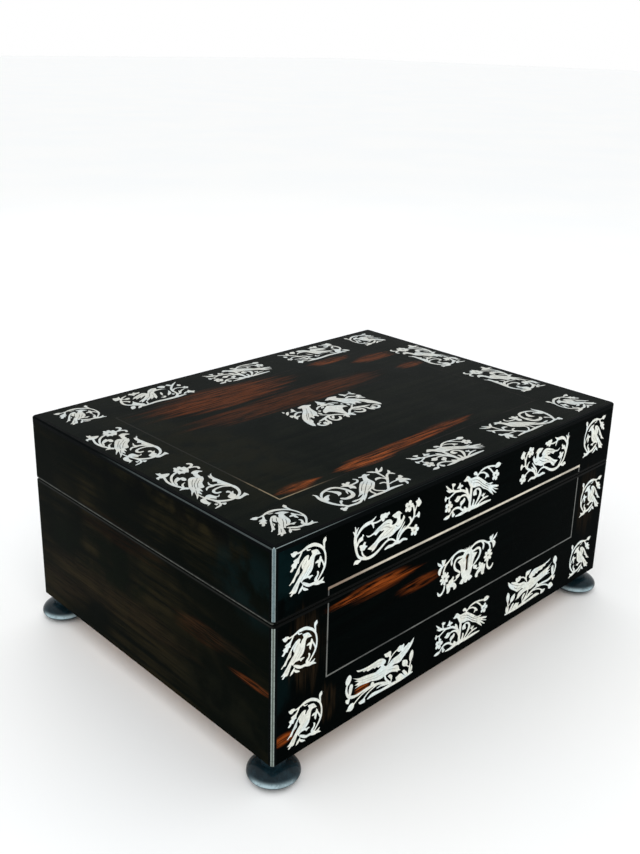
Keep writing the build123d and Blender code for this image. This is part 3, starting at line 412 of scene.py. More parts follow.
             (71, 10), (68, 10.2), (64.3, 10.4), (63.8, 11.4), (66, 11.6), (69, 11.3), (72, 12.2),
             (75, 14), (72, 13.5), (70, 12.9), (71.3, 13.8), (73.5, 15.3), (75.5, 17.3), (78, 19.8),
             (80.5, 22), (83, 24), (85, 25), (87, 25.2), (88, 26.5), (89.5, 28.5)],
        ],
        "cuts": [
            [(88, 23), (84, 20.2), (79, 16.2), (74.6, 12.6)],
            [(86.4, 24), (82, 21.4), (77, 17)],
            [(88.6, 20.6), (84.6, 17.4), (80.4, 15.6)],
            [(92.6, 29.6), (93, 29.6)],
        ],
    },
    "side": {
        "bands": [
            [(8.9, 99, 1.5), (7.8, 96, 1.4), (6.9, 93, 1.5), (6.8, 90, 1.7), (7.2, 87, 2), (8, 84, 1.8),
             (9.2, 80.8, 1.4)],
            [(7.6, 86.4, 1), (8.5, 90.6, 1.2), (10.5, 94.5, 1.4), (13.5, 97.8, 1.5), (17, 99.6, 1.5),
             (19, 100.2, 1.5)],
            [(24.6, 100.3, 1), (28, 101, 1.4), (30, 102.5, 1.8), (30.5, 104.2, 1.8), (29.3, 105.4, 1.6)],
            [(25.8, 100.2, 1), (29.5, 99.7, 1.4), (31, 98.2, 1.6), (30.5, 96.4, 1.6)],
            [(10, 71.5, 0.9), (9.7, 67, 1), (10.3, 64, 1.3), (10.8, 62, 1.5), (11.8, 59.5, 1.8),
             (12.4, 57.5, 2.2), (12.2, 55, 1.6), (11.9, 53.6, 1.4), (10.5, 52.3, 1.3), (8.5, 51.8, 1.2),
             (6.7, 51.3, 0.6)],
            [(12.6, 57.3, 2.2), (15.5, 55.3, 2), (18, 54.3, 1.8), (20.5, 54.2, 1.8), (23, 54.8, 1.7),
             (26, 56, 1.5), (28.2, 58.3, 1.6), (29.6, 61.3, 1.8), (30.2, 64.5, 2.2), (29.8, 67.5, 2.2),
             (28.3, 70, 2.2), (26, 72.3, 1.9), (23.8, 73.4, 1.8), (21.5, 73.2, 1.8), (19.5, 73.5, 1.5),
             (17.6, 72.5, 1.2), (16.3, 71, 0.5)],
            [(22.6, 73.6, 1.7), (21.8, 75.5, 1.3), (22.3, 77, 0.9), (23.1, 78.6, 0.4)],
            [(28.8, 67.2, 1.1), (26, 69.4, 1.3), (23, 69.6, 1.3), (20.5, 69.3, 1.4), (18.5, 68, 1.7),
             (17.9, 66.1, 1.8), (18.8, 64.8, 1.7), (20.6, 64.7, 1.2)],
            [(9.6, 82, 1), (10.4, 84.2, 1.3), (11.6, 85.5, 1), (13.6, 86.4, 0.4)],
        ],
        "leaves": [
            [(7.8, 102), (7.9, 104.5), (8.5, 106.2), (9.5, 105), (10.6, 105.3), (10.2, 103.2),
             (11, 102.8), (12.5, 102.3), (14.2, 101.3), (13.5, 100.3), (11.5, 99), (9.3, 98.3), (8, 98.6),
             (6.3, 99.6), (5, 98), (4.8, 99.8), (5.4, 101.1), (6.8, 101.3)],
            [(17.3, 102), (18.8, 103.5), (19.9, 105.7), (20.9, 105.6), (21.3, 104), (22, 105.2),
             (23.7, 105.3), (23.9, 103.4), (25.6, 103.6), (25.8, 101.2), (25.4, 99), (24.3, 97.3),
             (22.9, 95.6), (21.8, 96.5), (20.2, 95.6), (19.3, 97), (17.6, 96.8), (17.6, 98.3),
             (18.3, 99.5)],
            [(8.2, 86), (9.2, 90), (11, 92.3), (13, 93.8), (14.7, 94.3), (14.9, 92.8), (16.3, 92.6),
             (17, 91.3), (16.8, 89.7), (15.8, 88.2), (14.5, 88.4), (14, 89.9), (14.4, 91), (12.5, 90.4),
             (10.5, 89.5), (9.2, 86.6)],
            [(5.4, 80.1), (7.4, 81.5), (9.5, 81.7), (11.4, 79.7), (10, 78.2), (8.5, 79.4), (6.7, 80)],
            [(10, 64.8), (8.5, 64.6), (6.8, 64), (5.8, 62.5), (5.6, 60.5), (6, 58.5), (6.6, 57.3),
             (5.2, 56.1), (7.2, 56.6), (8.2, 57.4), (9, 57.5), (8.6, 59), (8.9, 61), (9.5, 62.5),
             (10.8, 63.3)],
            [(10.2, 64.4), (11.5, 65.8), (13, 66.4), (14.5, 66), (15.1, 64.3), (15.5, 62.8), (16.3, 61.9),
             (17.2, 62.2), (18.4, 63.3), (17.5, 61.5), (16.2, 60.9), (15, 61), (14.4, 59.8), (13.3, 60.6),
             (12.3, 61.8), (11, 62.8)],
            [(20, 54.8), (19.6, 57.5), (21, 58.8), (23, 59.8), (23.6, 61), (22.3, 62.3), (23, 63.2),
             (24.3, 63.6), (25, 62.5), (24.7, 61), (26.5, 61.6), (25.5, 60), (24.6, 58.8), (24.9, 57.3),
             (23.8, 56), (22, 54.6)],
            [(20.8, 54.4), (22.3, 52), (24.5, 51.9), (26.5, 52.5), (28.5, 52.8), (29.8, 52.2), (30, 53.6),
             (29.5, 56.1), (28.4, 55.5), (27, 54.7), (25, 54.2), (23.3, 55)],
            [(31, 65), (30.7, 70), (30, 74), (29.6, 78), (29.3, 82), (29.8, 84), (31.4, 86.7),
             (29.9, 85.9), (28.9, 84.5), (28.2, 85.3), (27.6, 84.5), (27, 82), (27, 80), (26.2, 78.8),
             (25.3, 77.7), (26.5, 76.9), (27.3, 76), (26.6, 75.2), (25.9, 74), (27, 73), (28, 71.5),
             (28.8, 69.5), (29.2, 66)],
        ],
        "flowers": [(10, 54.7, 1.1, 3, 0), (13.6, 52.8, 1.4, 3, 0)],
        "birds": [
            [(23.2, 93.8), (24.3, 94.8), (26.3, 95.4), (27.8, 94.9), (29, 93.4), (29.8, 92.1),
             (28.8, 91.7), (27.7, 92.2), (26.3, 91.6), (25.3, 90.5), (25.1, 88.5), (24.8, 87),
             (25.3, 86.6), (24.9, 85.2), (24, 83.5), (22.5, 82), (20.7, 80.5), (19.5, 78.5), (18.7, 76.5),
             (18, 75.2), (16.5, 74.9), (15, 75), (14.8, 73.5), (14.2, 71.4), (13.6, 71.4), (13.2, 73),
             (12.6, 71.5), (11.9, 68.9), (11.3, 69), (11, 71), (10.2, 70), (8.5, 67.8), (5.8, 65.4),
             (7.5, 68), (9.3, 71.5), (10.3, 74), (8.6, 72.6), (6.1, 70.3), (8, 73.3), (9.9, 76),
             (10.8, 79), (12.6, 82), (14.8, 85.2), (16.8, 88), (18.3, 89.1), (19.8, 89.4), (21.3, 88.7),
             (22, 88), (22.5, 90.5), (23.3, 92.5)],
        ],
        "cuts": [
            [(22, 86.6), (19.4, 84.2), (17.5, 82.8), (15.4, 80.6), (13.2, 76.4)],
            [(19.2, 86.6), (16.4, 83.9), (13.2, 79.2)],
            [(21.6, 84), (18, 81), (15, 76.8)],
            [(12.2, 75), (9.6, 70.6)],
            [(27.2, 93.8), (27.6, 93.7)],
        ],
        "holes": [
            [(20.8, 101.6), (21.6, 101.8), (22, 100.4), (21.6, 99.2), (20.8, 99.2), (20.5, 100.4)],
        ],
    },
    "thicket": {
        "bands": [
            [(63.4, 204.8, 2.6), (61, 206.6, 2.2), (58.5, 208.2, 1.6), (56.9, 211, 1.6),
             (57.2, 214.5, 1.8), (58.8, 218, 1.6), (60.8, 220.8, 1.5), (63.5, 222.8, 1.3),
             (66.7, 224.1, 0.6)],
            [(64.5, 201.2, 1.4), (70, 201.6, 1.8), (76, 202.3, 2.2), (84, 201.5, 2.2), (92, 201.4, 2.4),
             (99, 201.6, 1)],
            [(91, 201.8, 2), (94.5, 205, 1.8), (95.5, 208, 1.6), (95.8, 212, 1.6), (97, 215.5, 1.6),
             (100, 219.5, 1.6), (103.5, 222.8, 1.5), (107.8, 225.8, 0.6)],
            [(96.2, 212.6, 1.2), (99, 215, 1.2), (102.5, 215.2, 1.1), (104.8, 213.8, 1)],
            [(71, 206.6, 1), (69.2, 201.8, 1.2)],
            [(60.4, 219.6, 1), (62.6, 218.8, 1.2)],
            [(58.4, 216.6, 1), (60.6, 215.2, 1.4), (62.2, 213.6, 1.9), (61.4, 212.2, 0.8)],
            [(84.6, 208.4, 0.6), (86, 207, 1.6), (84.4, 205.8, 1.4), (82.6, 206.4, 0.6)],
            [(98.6, 203, 1), (101, 204.6, 1.4), (103.4, 204.4, 1.4)],
            [(97.4, 205.6, 1), (100.6, 209.4, 1.3), (103.8, 210.6, 0.8)],
        ],
        "leaves": [
            [(55.9, 220), (58.5, 220), (60.8, 221.6), (61.9, 225.9), (59.8, 224.5), (57.2, 225.5),
             (56, 223)],
            [(61.8, 218.8), (64.3, 220.2), (66.2, 219.6), (65.2, 217.4), (62.8, 217.4)],
            [(60.5, 207.4), (62.5, 210), (64.3, 212.8), (64.6, 209.5), (65.7, 207), (67.6, 204.5),
             (67.2, 201.2), (63.5, 202.9), (61.2, 205.4)],
            [(55.8, 200.4), (58.5, 200.8), (60.6, 205), (58, 205), (56.4, 203)],
            [(60, 199.5), (62.8, 200.1), (65, 202.4), (62.2, 202.6)],
            [(68.4, 224.5), (70.2, 226.1), (71.8, 225), (73.9, 226.5), (75, 224.8), (77.4, 225.1),
             (76.5, 223), (73.5, 222.6), (70.6, 220.7), (69.9, 223)],
            [(91.8, 225.1), (93, 222.4), (95, 220.8), (97.5, 223.2), (96.2, 225.1), (94, 225.8)],
            [(98.3, 224.5), (100.2, 225.4), (101.9, 223), (101.2, 220.6), (99.9, 221.6)],
            [(104.3, 219.5), (106, 221.2), (107.2, 219), (106, 217.2), (104.4, 218.1)],
            [(88.3, 207.3), (90.4, 210.4), (92.8, 213.2), (94.2, 215.6), (93.5, 211), (91.2, 208.2)],
            [(95, 204.8), (97.5, 207.7), (99.4, 211.3), (99, 207.2), (96.8, 204.6)],
            [(85.6, 209.6), (86.2, 213), (88.4, 215.8), (87.5, 211.8)],
            [(101.3, 202.8), (102.9, 205.7), (105, 207.5), (105.5, 204.7), (107.7, 203.5), (106, 201.9),
             (104.9, 200.3), (103.4, 202.3)],
        ],
        "flowers": [(106.6, 212.8, 2.3, 5, 0.5), (92.6, 207.2, 1.2, 3, 0)],
        "birds": [
            [(83, 223), (85, 224.2), (88, 225.2), (90.4, 224.2), (89.2, 221.5), (92.4, 220.8),
             (94.6, 217.6), (92.6, 219.4), (89.4, 219.8), (87, 219.6), (84.7, 218.2), (84, 216),
             (82.8, 212.5), (81.5, 209.5), (78.9, 206.9), (79.5, 210), (78, 209.4), (75.8, 207.8),
             (77, 210.5), (75, 209), (71.8, 207.1), (73, 210), (70, 208), (67.3, 206.7), (69, 209),
             (65.8, 208.4), (69, 210.6), (72, 212.3), (75, 214.6), (77, 217), (74, 215.5), (70.8, 213.3),
             (72.6, 215.9), (67.9, 213.8), (69.4, 216.2), (66, 215.6), (68.5, 218), (72, 219.8),
             (75.5, 221.3), (78.5, 221.4), (80, 219), (81.5, 221)],
        ],
        "cuts": [
            [(87, 222.8), (82, 219), (78, 213.6), (73, 209.8)],
            [(82, 216.4), (80.4, 212), (77.6, 208.6)],
            [(78, 220), (74, 218.4), (70, 216.2)],
            [(87.6, 223.8), (88, 223.8)],
        ],
    },
    "shield": {
        "mirror": 155.2,
        "bands": [
            [(155.8, 122, 1.4), (151, 122.8, 1.5), (148, 121.8, 1.5), (145.8, 119.9, 1)],
            [(155.8, 100.6, 2.2), (152.3, 102.6, 1.7), (150, 104.8, 1.7), (147, 106.5, 1.9),
             (143.5, 106.9, 2.1), (139.8, 105.8, 1.9), (136, 104.6, 1.8), (132.3, 103.7, 0.8)],
            [(143, 106, 1.2), (141.5, 104, 1.5), (140.9, 101.5, 1.7), (141.5, 99.3, 1.8),
             (143.3, 98.1, 1.9), (145.8, 98.6, 1.9), (147.6, 100.2, 1.7), (148.2, 102, 1)],
            [(138.6, 104.9, 1.6), (137, 101.6, 1.8), (137, 98.8, 1.8), (135.6, 96.3, 1)],
            [(137.2, 100.4, 1.3), (134.6, 97.9, 1.8), (132, 96.9, 1.9), (129.6, 97.6, 1.9),
             (128.4, 99.6, 1.9), (129.4, 101.5, 1.7), (131.9, 102, 1)],
            [(134.8, 123.1, 1.5), (132, 123.9, 1.8), (129.5, 122.6, 1.6), (127.5, 121, 1.3),
             (126.4, 119.4, 1)],
            [(140.6, 111.6, 1), (143, 109.6, 1.2), (145.6, 107.4, 1.2)],
        ],
        "leaves": [
            [(155.4, 120.9), (152.5, 119.1), (150, 117.6), (147.5, 116.1), (145.3, 113.2), (145.3, 111),
             (147, 111.7), (149.2, 111.8), (151, 110), (152.4, 107.5), (153.3, 105), (154.2, 102),
             (155.4, 98.6)],
            [(155.4, 132), (154, 129.5), (153.4, 127.8), (151.2, 125.4), (153.3, 125.2), (152.2, 122.6),
             (155.4, 121)],
            [(149.2, 119.5), (150.8, 121.2), (153.2, 121.6), (152.6, 120.1), (150.8, 119.2)],
            [(124, 124.2), (125.3, 124.6), (127.3, 126.4), (128.8, 128.8), (127, 128.6), (125.3, 127.2),
             (124.5, 125.8)],
            [(124.3, 128.7), (125.2, 131.1), (126, 129.3), (125.2, 128.2)],
            [(128.6, 127.3), (131, 128.2), (132, 130), (133.7, 131.6), (134.1, 129.6), (133.3, 127.2),
             (133.5, 125.3), (131.8, 126.4), (130, 126.6)],
            [(123.9, 122.2), (125.3, 123), (127, 121.4), (126.6, 119.7), (125, 119.7), (123.7, 119)],
            [(125.6, 119.7), (127.5, 119.4), (130.6, 119.2), (128.4, 117.8), (126.8, 117.3), (125.8, 116),
             (124.1, 114.9), (124.5, 117), (124.8, 118.6)],
            [(142.2, 111), (143.3, 112.8), (142.6, 115.2), (141.1, 114)],
            [(142.1, 101.8), (143.3, 103.9), (145, 105.4), (146.9, 105.4), (145.5, 103.6), (144.2, 102.2),
             (143, 101)],
            [(131.6, 99), (133, 100.9), (135, 101), (134.8, 99.2), (133, 98)],
            [(155.4, 101.6), (152.4, 101.8), (149.8, 100), (152, 100.2), (151.4, 98.4), (152.1, 96.6),
             (153.8, 98.2), (154.5, 99.8), (155.4, 98.4)],
        ],
        "flowers": [(145.1, 116.8, 1.2, 3, 0)],
        "birds": [
            [(137.8, 129.9), (139.5, 130.6), (142, 131.2), (144.5, 131.2), (146.5, 130), (148.9, 128.9),
             (147.5, 127.6), (146, 127.4), (145.2, 126), (144, 123.5), (143.2, 120.5), (142.6, 117.5),
             (141.5, 115), (139.8, 113.5), (139, 110.8), (137.8, 110.4), (137.3, 112.3), (136, 112.8),
             (134.6, 110.3), (133.4, 109.8), (133.5, 112.5), (132.2, 112), (130.8, 109.5), (130.2, 106.8),
             (128.5, 105), (127, 102), (125.6, 99.6), (124.4, 100.6), (124.1, 104), (124.7, 107.5),
             (125.8, 111), (127.7, 114.3), (130.2, 117.3), (133.2, 120.3), (136.3, 123.2), (138.7, 126),
             (139.8, 127.8), (138.4, 128.4)],
        ],
        "cuts": [
            [(141.6, 125.8), (138.4, 121.4), (133.6, 116.6), (129, 111)],
            [(141, 121), (138.6, 117.2), (135.6, 113.6)],
            [(137.2, 119), (133.2, 114.4), (129.6, 109)],
            [(144.6, 129.4), (145, 129.4)],
        ],
    },
}

# Where each motif goes on its face: design, across, up, and -1 where it is turned over left to right.
TOP_MOTIFS = [
    ("corner", -129.5, -95.3, 1), ("bough", -72.4, -95.3, 1), ("trunk", 0, -95.3, 1),
    ("bough", 72.4, -95.3, -1), ("corner", 129.5, -95.3, -1), ("side", -134.8, -35.6, 1),
    ("side", -134.8, 35.6, 1), ("side", 134.8, -35.6, -1), ("side", 134.8, 35.6, -1),
    ("corner", -129.5, 95.3, 1), ("thicket", -72.4, 95.3, 1), ("trunk", 0, 95.3, 1),
    ("thicket", 72.4, 95.3, -1), ("corner", 129.5, 95.3, -1), ("shield", 0, 0, 1),
]
LID_FRONT_MOTIFS = [
    ("corner", -130.1, 122.9, 1), ("perch", -72.5, 123.2, 1), ("trunk", 0, 123.2, 1),
    ("perch", 72.5, 123.2, -1), ("corner", 130.1, 122.9, -1),
]
BASE_FRONT_MOTIFS = [
    ("corner", -134.8, 77.7, 1), ("corner", 134.8, 77.7, -1), ("corner", -130, 32.9, 1),
    ("flight", -72.5, 33.5, 1), ("trunk", 0, 33.5, 1), ("flight", 72.5, 33.5, -1),
    ("corner", 130, 32.9, -1), ("lockplate", 0, 75.4, 1),
]

# How the motifs are drawn: the steps between two points, how sharp a turn stays a tip, the width of an
# engraved line, the points of a petal, a flower's depth and roundness, and the points of a small ring.
CURVE_STEPS = 3
SHARP = 0.35
LINE_WIDTH = 0.26
PETAL_POINTS = 8
PETAL_DEPTH, PETAL_POWER = 0.42, 0.7
RING_POINTS = 16

# Distances in millimetres below which points are one, a length is nothing, and a point is on a line.
WELD = 0.0002
TINY = 1e-9
ON_LINE = 0.01

# Distances in metres below which a mesh's points are merged and its faces dropped.
MERGED, DROPPED = 1e-6, 1e-7

# The stringing in millimetres: the middle of its lines across and up, and how far it stops short of the
# joint between base and lid.
TOP_STRING = (115.1, 76.5)
FRONT_STRING, STRING_LOW, STRING_HIGH, STRING_SHORT = 115.3, 53.1, 105.5, 0.2

# The keyhole in millimetres: the height of its head, the head's radius, half its slot, the slot's foot.
KEY_HEAD, KEY_RADIUS, KEY_HALF, KEY_FOOT = 80.8, 1.9, 1.2, 71.5
KEY_POINTS = 17


def unit(vectors, measured):
    """Vectors divided by the length of their measured part."""
    return vectors / np.maximum(np.linalg.norm(measured, axis=1), TINY)[:, None]


def smooth(points, closed):
    """A smooth line through the points, which keeps its sharp tips."""
    p = np.array(points, float)
    n = len(p)
    before = np.roll(p, 1, axis=0) if closed else np.vstack([p[:1], p[:-1]])
    after = np.roll(p, -1, axis=0) if closed else np.vstack([p[1:], p[-1:]])
    back, ahead = p - before, after - p
    near = np.maximum(np.linalg.norm(back[:, :2], axis=1), TINY)
    far = np.maximum(np.linalg.norm(ahead[:, :2], axis=1), TINY)
    turn = (back[:, :2] * ahead[:, :2]).sum(axis=1) / (near * far)
    way = back / near[:, None] + ahead / far[:, None]
    way = unit(way, way[:, :2])
    way[turn < SHARP] = 0
    out = []
    for i in range(n if closed else n - 1):
        j = (i + 1) % n
        for k in range(CURVE_STEPS):
            t = k / CURVE_STEPS
            a, b = 2 * t**3 - 3 * t**2 + 1, 3 * t**2 - 2 * t**3
            c, d = t**3 - 2 * t**2 + t, t**3 - t**2
            out.append(a * p[i] + b * p[j] + (c * way[i] + d * way[j]) * far[i])
    if not closed:
        out.append(p[-1])
    return np.array(out)


def band(points):
    """The outline of a band that follows a line of (x, y, width) points, with round ends."""
    line = smooth(points, False)
    centre, half = line[:, :2], line[:, 2] / 2
    way = np.gradient(centre, axis=0)
    way = unit(way, way)
    side = np.stack([-way[:, 1], way[:, 0]], axis=1)
    left, right = centre + side * half[:, None], centre - side * half[:, None]
    angles = (pi / 3, 2 * pi / 3)
    start = [centre[0] + (-way[0] * sin(a) - side[0] * cos(a)) * half[0] for a in angles]
    end = [centre[-1] + (way[-1] * sin(a) + side[-1] * cos(a)) * half[-1] for a in angles]
    return np.vstack([right, end[::-1], left[::-1], start[::-1]])


def flower(x, y, radius, petals):
    """The outline of a flower with round petals."""
    points = []
    for i in range(petals * PETAL_POINTS):
        a = 2 * pi * i / (petals * PETAL_POINTS)
        r = radius * (1 - PETAL_DEPTH + PETAL_DEPTH * abs(cos(petals * a / 2)) ** PETAL_POWER)
        points.append((x + r * cos(a), y + r * sin(a)))
    return np.array(points)


def ring(x, y, radius):
    """A circle as points."""
    angles = [2 * pi * i / RING_POINTS for i in range(RING_POINTS)]
    return np.array([(x + radius * cos(a), y + radius * sin(a)) for a in angles])


def winding(starts, ends, points):
    """How many times the edges run round each point."""
    total = np.zeros(len(points))
    lo, hi = starts.min(axis=0), starts.max(axis=0)
    near = np.all((points > lo) & (points < hi), axis=1)
    q = points[near]
    ax, ay, bx, by = starts[:, 0], starts[:, 1], ends[:, 0], ends[:, 1]
    x, y = q[:, :1], q[:, 1:]
    left = (bx - ax) * (y - ay) - (x - ax) * (by - ay)
    up = (ay <= y) & (by > y) & (left > 0)
    down = (ay > y) & (by <= y) & (left < 0)
    total[near] = up.sum(axis=1) - down.sum(axis=1)
    return total


def covered(outlines, points):
    """Which points lie inside any of the outlines."""
    inside = np.zeros(len(points), bool)
    for outline in outlines:
        inside |= winding(outline, np.roll(outline, -1, axis=0), points) != 0
    return inside


def on_outline(outline, point):
    """Whether a point lies on the edge of an outline."""
    a, b = outline, np.roll(outline, -1, axis=0)
    way = b - a
    t = ((point - a) * way).sum(axis=1) / np.maximum((way**2).sum(axis=1), TINY)
    return np.linalg.norm(a + way * np.clip(t, 0, 1)[:, None] - point, axis=1).min() < ON_LINE


def loop(start, count):
    """The edges of a closed outline whose points follow each other."""
    return [(start + i, start + (i + 1) % count) for i in range(count)]


def triangulate(points, edges):
    """Points and triangles that fill the hull of the points and keep to the edges."""
    verts, _, faces, *_ = delaunay_2d_cdt([Vector(p) for p in points], edges, [], 0, WELD, False)
    return np.array([tuple(v) for v in verts]), np.array([tuple(f) for f in faces if len(f) == 3])


def triangles_of(outlines):
    """Triangles that fill the hull of the outlines, keep to their edges and face up."""
    points, edges = [], []
    for outline in outlines:
        edges += loop(len(points), len(outline))
        points += list(outline)
    verts, faces = triangulate(points, edges)
    a, b, c = (verts[faces[:, i]] for i in range(3))
    area = (b[:, 0] - a[:, 0]) * (c[:, 1] - a[:, 1]) - (b[:, 1] - a[:, 1]) * (c[:, 0] - a[:, 0])
    faces = np.where((area < 0)[:, None], faces[:, ::-1], faces)
    return verts, faces[np.abs(area) > TINY]


def border(faces):
    """The directed edges that only one of the triangles has."""
    found = {}
    for face in faces:
        for i in range(3):
            a, b = int(face[i]), int(face[(i + 1) % 3])
            if (b, a) in found:
                del found[b, a]
            else:
                found[a, b] = True
    return list(found)


def filled(solid, lines=(), through=()):
    """A shape as points, the triangles of its filling and those of its pocket."""
    verts, faces = triangles_of([*solid, *lines, *through])
    centres = verts[faces].mean(axis=1)
    pocket = covered(solid, centres) & ~covered(through, centres)
    return verts, faces[pocket & ~covered(lines, centres)], faces[pocket]


def motif_shape(name, holes):
    """One motif about its own middle: points, its pearl triangles and its pocket triangles."""
    motif = MOTIFS[name]
    flowers = motif.get("flowers", [])
    solid = [band(line) for line in motif.get("bands", [])]
    solid += [smooth(line, True) for line in motif.get("leaves", []) + motif.get("birds", [])]
    solid += [flower(x, y, r, petals) for x, y, r, petals, _ in flowers]
    lines = [band([(x, y, LINE_WIDTH) for x, y in line]) for line in motif.get("cuts", [])]
    lines += [ring(x, y, hole) for x, y, _, _, hole in flowers if hole]
    lines += [smooth(line, True) for line in motif.get("holes", [])]
    if "mirror" in motif:
        for group in (solid, lines):
            group += [(2 * motif["mirror"], 0) + g[::-1] * (-1, 1) for g in list(group)]
    everything = np.vstack(solid)
    middle = (everything.min(axis=0) + everything.max(axis=0)) / 2
    return filled([g - middle for g in solid], [g - middle for g in lines], holes)


def place(motifs, holes=()):
    """Each motif of a face as points and faces in the place where it goes. The holes go through the
    lock plate's motif."""
    shapes, drawn = [], {}
    for name, x, y, turned_over in motifs:
        if name not in drawn:
            drawn[name] = motif_shape(name, [hole - (x, y) for hole in holes if name == "lockplate"])
        flat, filling, pocket = drawn[name]
        order = slice(None, None, turned_over)
        shapes.append((flat * (turned_over, 1) + (x, y), filling[:, order], pocket[:, order]))
    return shapes


def rectangle(x0, y0, x1, y1):
    """Four corners, counter-clockwise."""
    return np.array([(x0, y0), (x1, y0), (x1, y1), (x0, y1)], float)


def keyhole_outline():
    """The keyhole's outline on the front: a round head over a straight slot."""
    start = np.arccos(KEY_HALF / KEY_RADIUS)
    angles = np.linspace(-start, pi + start, KEY_POINTS)
    head = [(KEY_RADIUS * cos(a), KEY_HEAD + KEY_RADIUS * sin(a)) for a in angles]
    return np.array(head + [(-KEY_HALF, KEY_FOOT), (KEY_HALF, KEY_FOOT)])


def only(obj):
    """Selects one object and makes it active."""
    bpy.ops.object.select_all(action="DESELECT")
    obj.select_set(True)
    bpy.context.view_layer.objects.active = obj


def join(objects, name):
    """Joins objects into one and names it."""
    only(objects[0])
    for obj in objects:
        obj.select_set(True)
    bpy.ops.object.join()
    objects[0].name = objects[0].data.name = name
    return objects[0]


def new_object(name, points, edges, faces):
    """A new object from bare geometry, selected alone."""
    mesh = bpy.data.meshes.new(name)
    mesh.from_pydata(points, edges, faces)
    obj = bpy.data.objects.new(name, mesh)
    bpy.context.collection.objects.link(obj)
    only(obj)
    return obj


def clean_mesh():
    """In edit mode, merges doubled points and turns the normals outward."""
    bpy.ops.mesh.select_all(action="SELECT")
    bpy.ops.mesh.remove_doubles(threshold=MERGED)
    bpy.ops.mesh.dissolve_degenerate(threshold=DROPPED)
    bpy.ops.mesh.normals_make_consistent(inside=False)


class Shell:
    """Collects points and faces in millimetres for a closed mesh on the top or the front. Heights count
    outward from the middle of the box."""

    def __init__(self, upright):
        self.upright = upright
        self.points, self.faces = [], []

    def add(self, flat, height, faces=()):
        """Adds faces over flat points, all at one height."""
        start = len(self.points)
        for x, y in flat:
            x, y, out = x * MM, y * MM, height * MM
            self.points.append((x, -out, y) if self.upright else (x, y, out))
        self.faces += [tuple(int(i) + start for i in face) for face in faces]

    def walls(self, flat, edges, high, low):
        """Adds an upright wall under each edge."""
        for a, b in edges:
            self.add(flat[[a, b]], high)
            self.add(flat[[a, b]], low)
            n = len(self.points)
            self.faces.append((n - 4, n - 3, n - 1, n - 2))

    def make(self, name):
        """Makes the object."""
        obj = new_object(name, self.points, [], self.faces)
        bpy.ops.object.mode_set(mode="EDIT")
        clean_mesh()
        bpy.ops.object.mode_set(mode="OBJECT")
        return obj


def set_in(flat, faces, inset):
    """The points with the border of the faces drawn in a little."""
    push = np.zeros_like(flat)
    for a, b in border(faces):
        way = flat[b] - flat[a]
        inward = np.array([-way[1], way[0]]) / max(np.hypot(*way), TINY)
        push[a] += inward
        push[b] += inward
    size = np.maximum(np.linalg.norm(push, axis=1), 1)
    return flat + push / size[:, None] * inset


def inlay(shapes, upright, levels, name, inset):
    """The filling of all the pockets, as one mesh of separate closed plates."""
    shell = Shell(upright)
    surface_at, floor, _ = levels
    for flat, filling, _ in shapes:
        drawn = set_in(flat, filling, inset)
        shell.add(drawn, surface_at, filling)
        shell.add(drawn, floor, filling[:, ::-1])
        shell.walls(drawn, border(filling), surface_at, floor)
    return shell.make(name)


def panel(shapes, outline, upright, levels, name, through):
    """A veneer with a pocket under each shape and holes right through. The levels are the heights of its
    surface, of the floor of its pockets, and of its back."""
    shell = Shell(upright)
    surface_at, floor, back = levels
    corners = rectangle(*outline)
    rims = [(flat, border(pocket)) for flat, _, pocket in shapes]
    points, edges = list(corners), loop(0, 4)
    for flat, rim in rims:
        index = {}
        for edge in rim:
            for i in edge:
                if i not in index:
                    index[i] = len(points)
                    points.append(flat[i])
        edges += [(index[a], index[b]) for a, b in rim]
    for hole in through:
        edges += loop(len(points), len(hole))
        points += list(hole)
    verts, faces = triangulate(points, edges)
    centres = verts[faces].mean(axis=1)
    taken = covered(through, centres)
    for flat, rim in rims:
        rim = np.array(rim)
        taken |= winding(flat[rim[:, 0]], flat[rim[:, 1]], centres) != 0
    shell.add(verts, surface_at, faces[~taken])
    for (flat, _, pocket), (_, rim) in zip(shapes, rims):
        shell.add(flat, floor, pocket)
        middles = [flat[list(edge)].mean(axis=0) for edge in rim]
        at_hole = [any(on_outline(hole, middle) for hole in through) for middle in middles]
        shell.walls(flat, [edge for edge, cut in zip(rim, at_hole) if not cut], surface_at, floor)
        shell.walls(flat, [edge for edge, cut in zip(rim, at_hole) if cut], floor, back)
    back_verts, back_faces = triangles_of([corners, *through])
    solid_back = ~covered(through, back_verts[back_faces].mean(axis=1))
    shell.add(back_verts, back, back_faces[solid_back][:, ::-1])
    shell.walls(corners, loop(0, 4), surface_at, back)
    return shell.make(name)


# Turned and small parts. The screw sizes are in metres. Each slot stands at an angle of its own, in
# degrees: one at the middle of the box, and more for each millimetre across and in depth.
SMOOTH_ANGLE = radians(35)
SCREW_SIDES, SCREW_HEIGHT, SCREW_BEVEL, SCREW_PROUD = 28, 0.0003, 0.00006, 0.00008
SLOT_REACH, SLOT_WIDTH, SLOT_HEIGHT = 2.4, 0.00045, 0.0003
SLOT_TURN, SLOT_TURN_ACROSS, SLOT_TURN_DEEP = 17, 7, 3


def turned(name, profile, x, y, steps):
    """A lathe-turned solid: a half section of (radius, height) points spun round an upright axis."""
    chain = [(i, i + 1) for i in range(len(profile) - 1)]
    obj = new_object(name, [(r * MM, 0, z * MM) for r, z in profile], chain, [])
    bpy.ops.object.mode_set(mode="EDIT")
    bpy.ops.mesh.select_all(action="SELECT")
    bpy.ops.mesh.spin(steps=steps, angle=2 * pi, center=(0, 0, 0), axis=(0, 0, 1))
    clean_mesh()
    bpy.ops.transform.translate(value=(x * MM, y * MM, 0))
    bpy.ops.object.mode_set(mode="OBJECT")
    bpy.ops.object.shade_smooth_by_angle(angle=SMOOTH_ANGLE)
    return obj


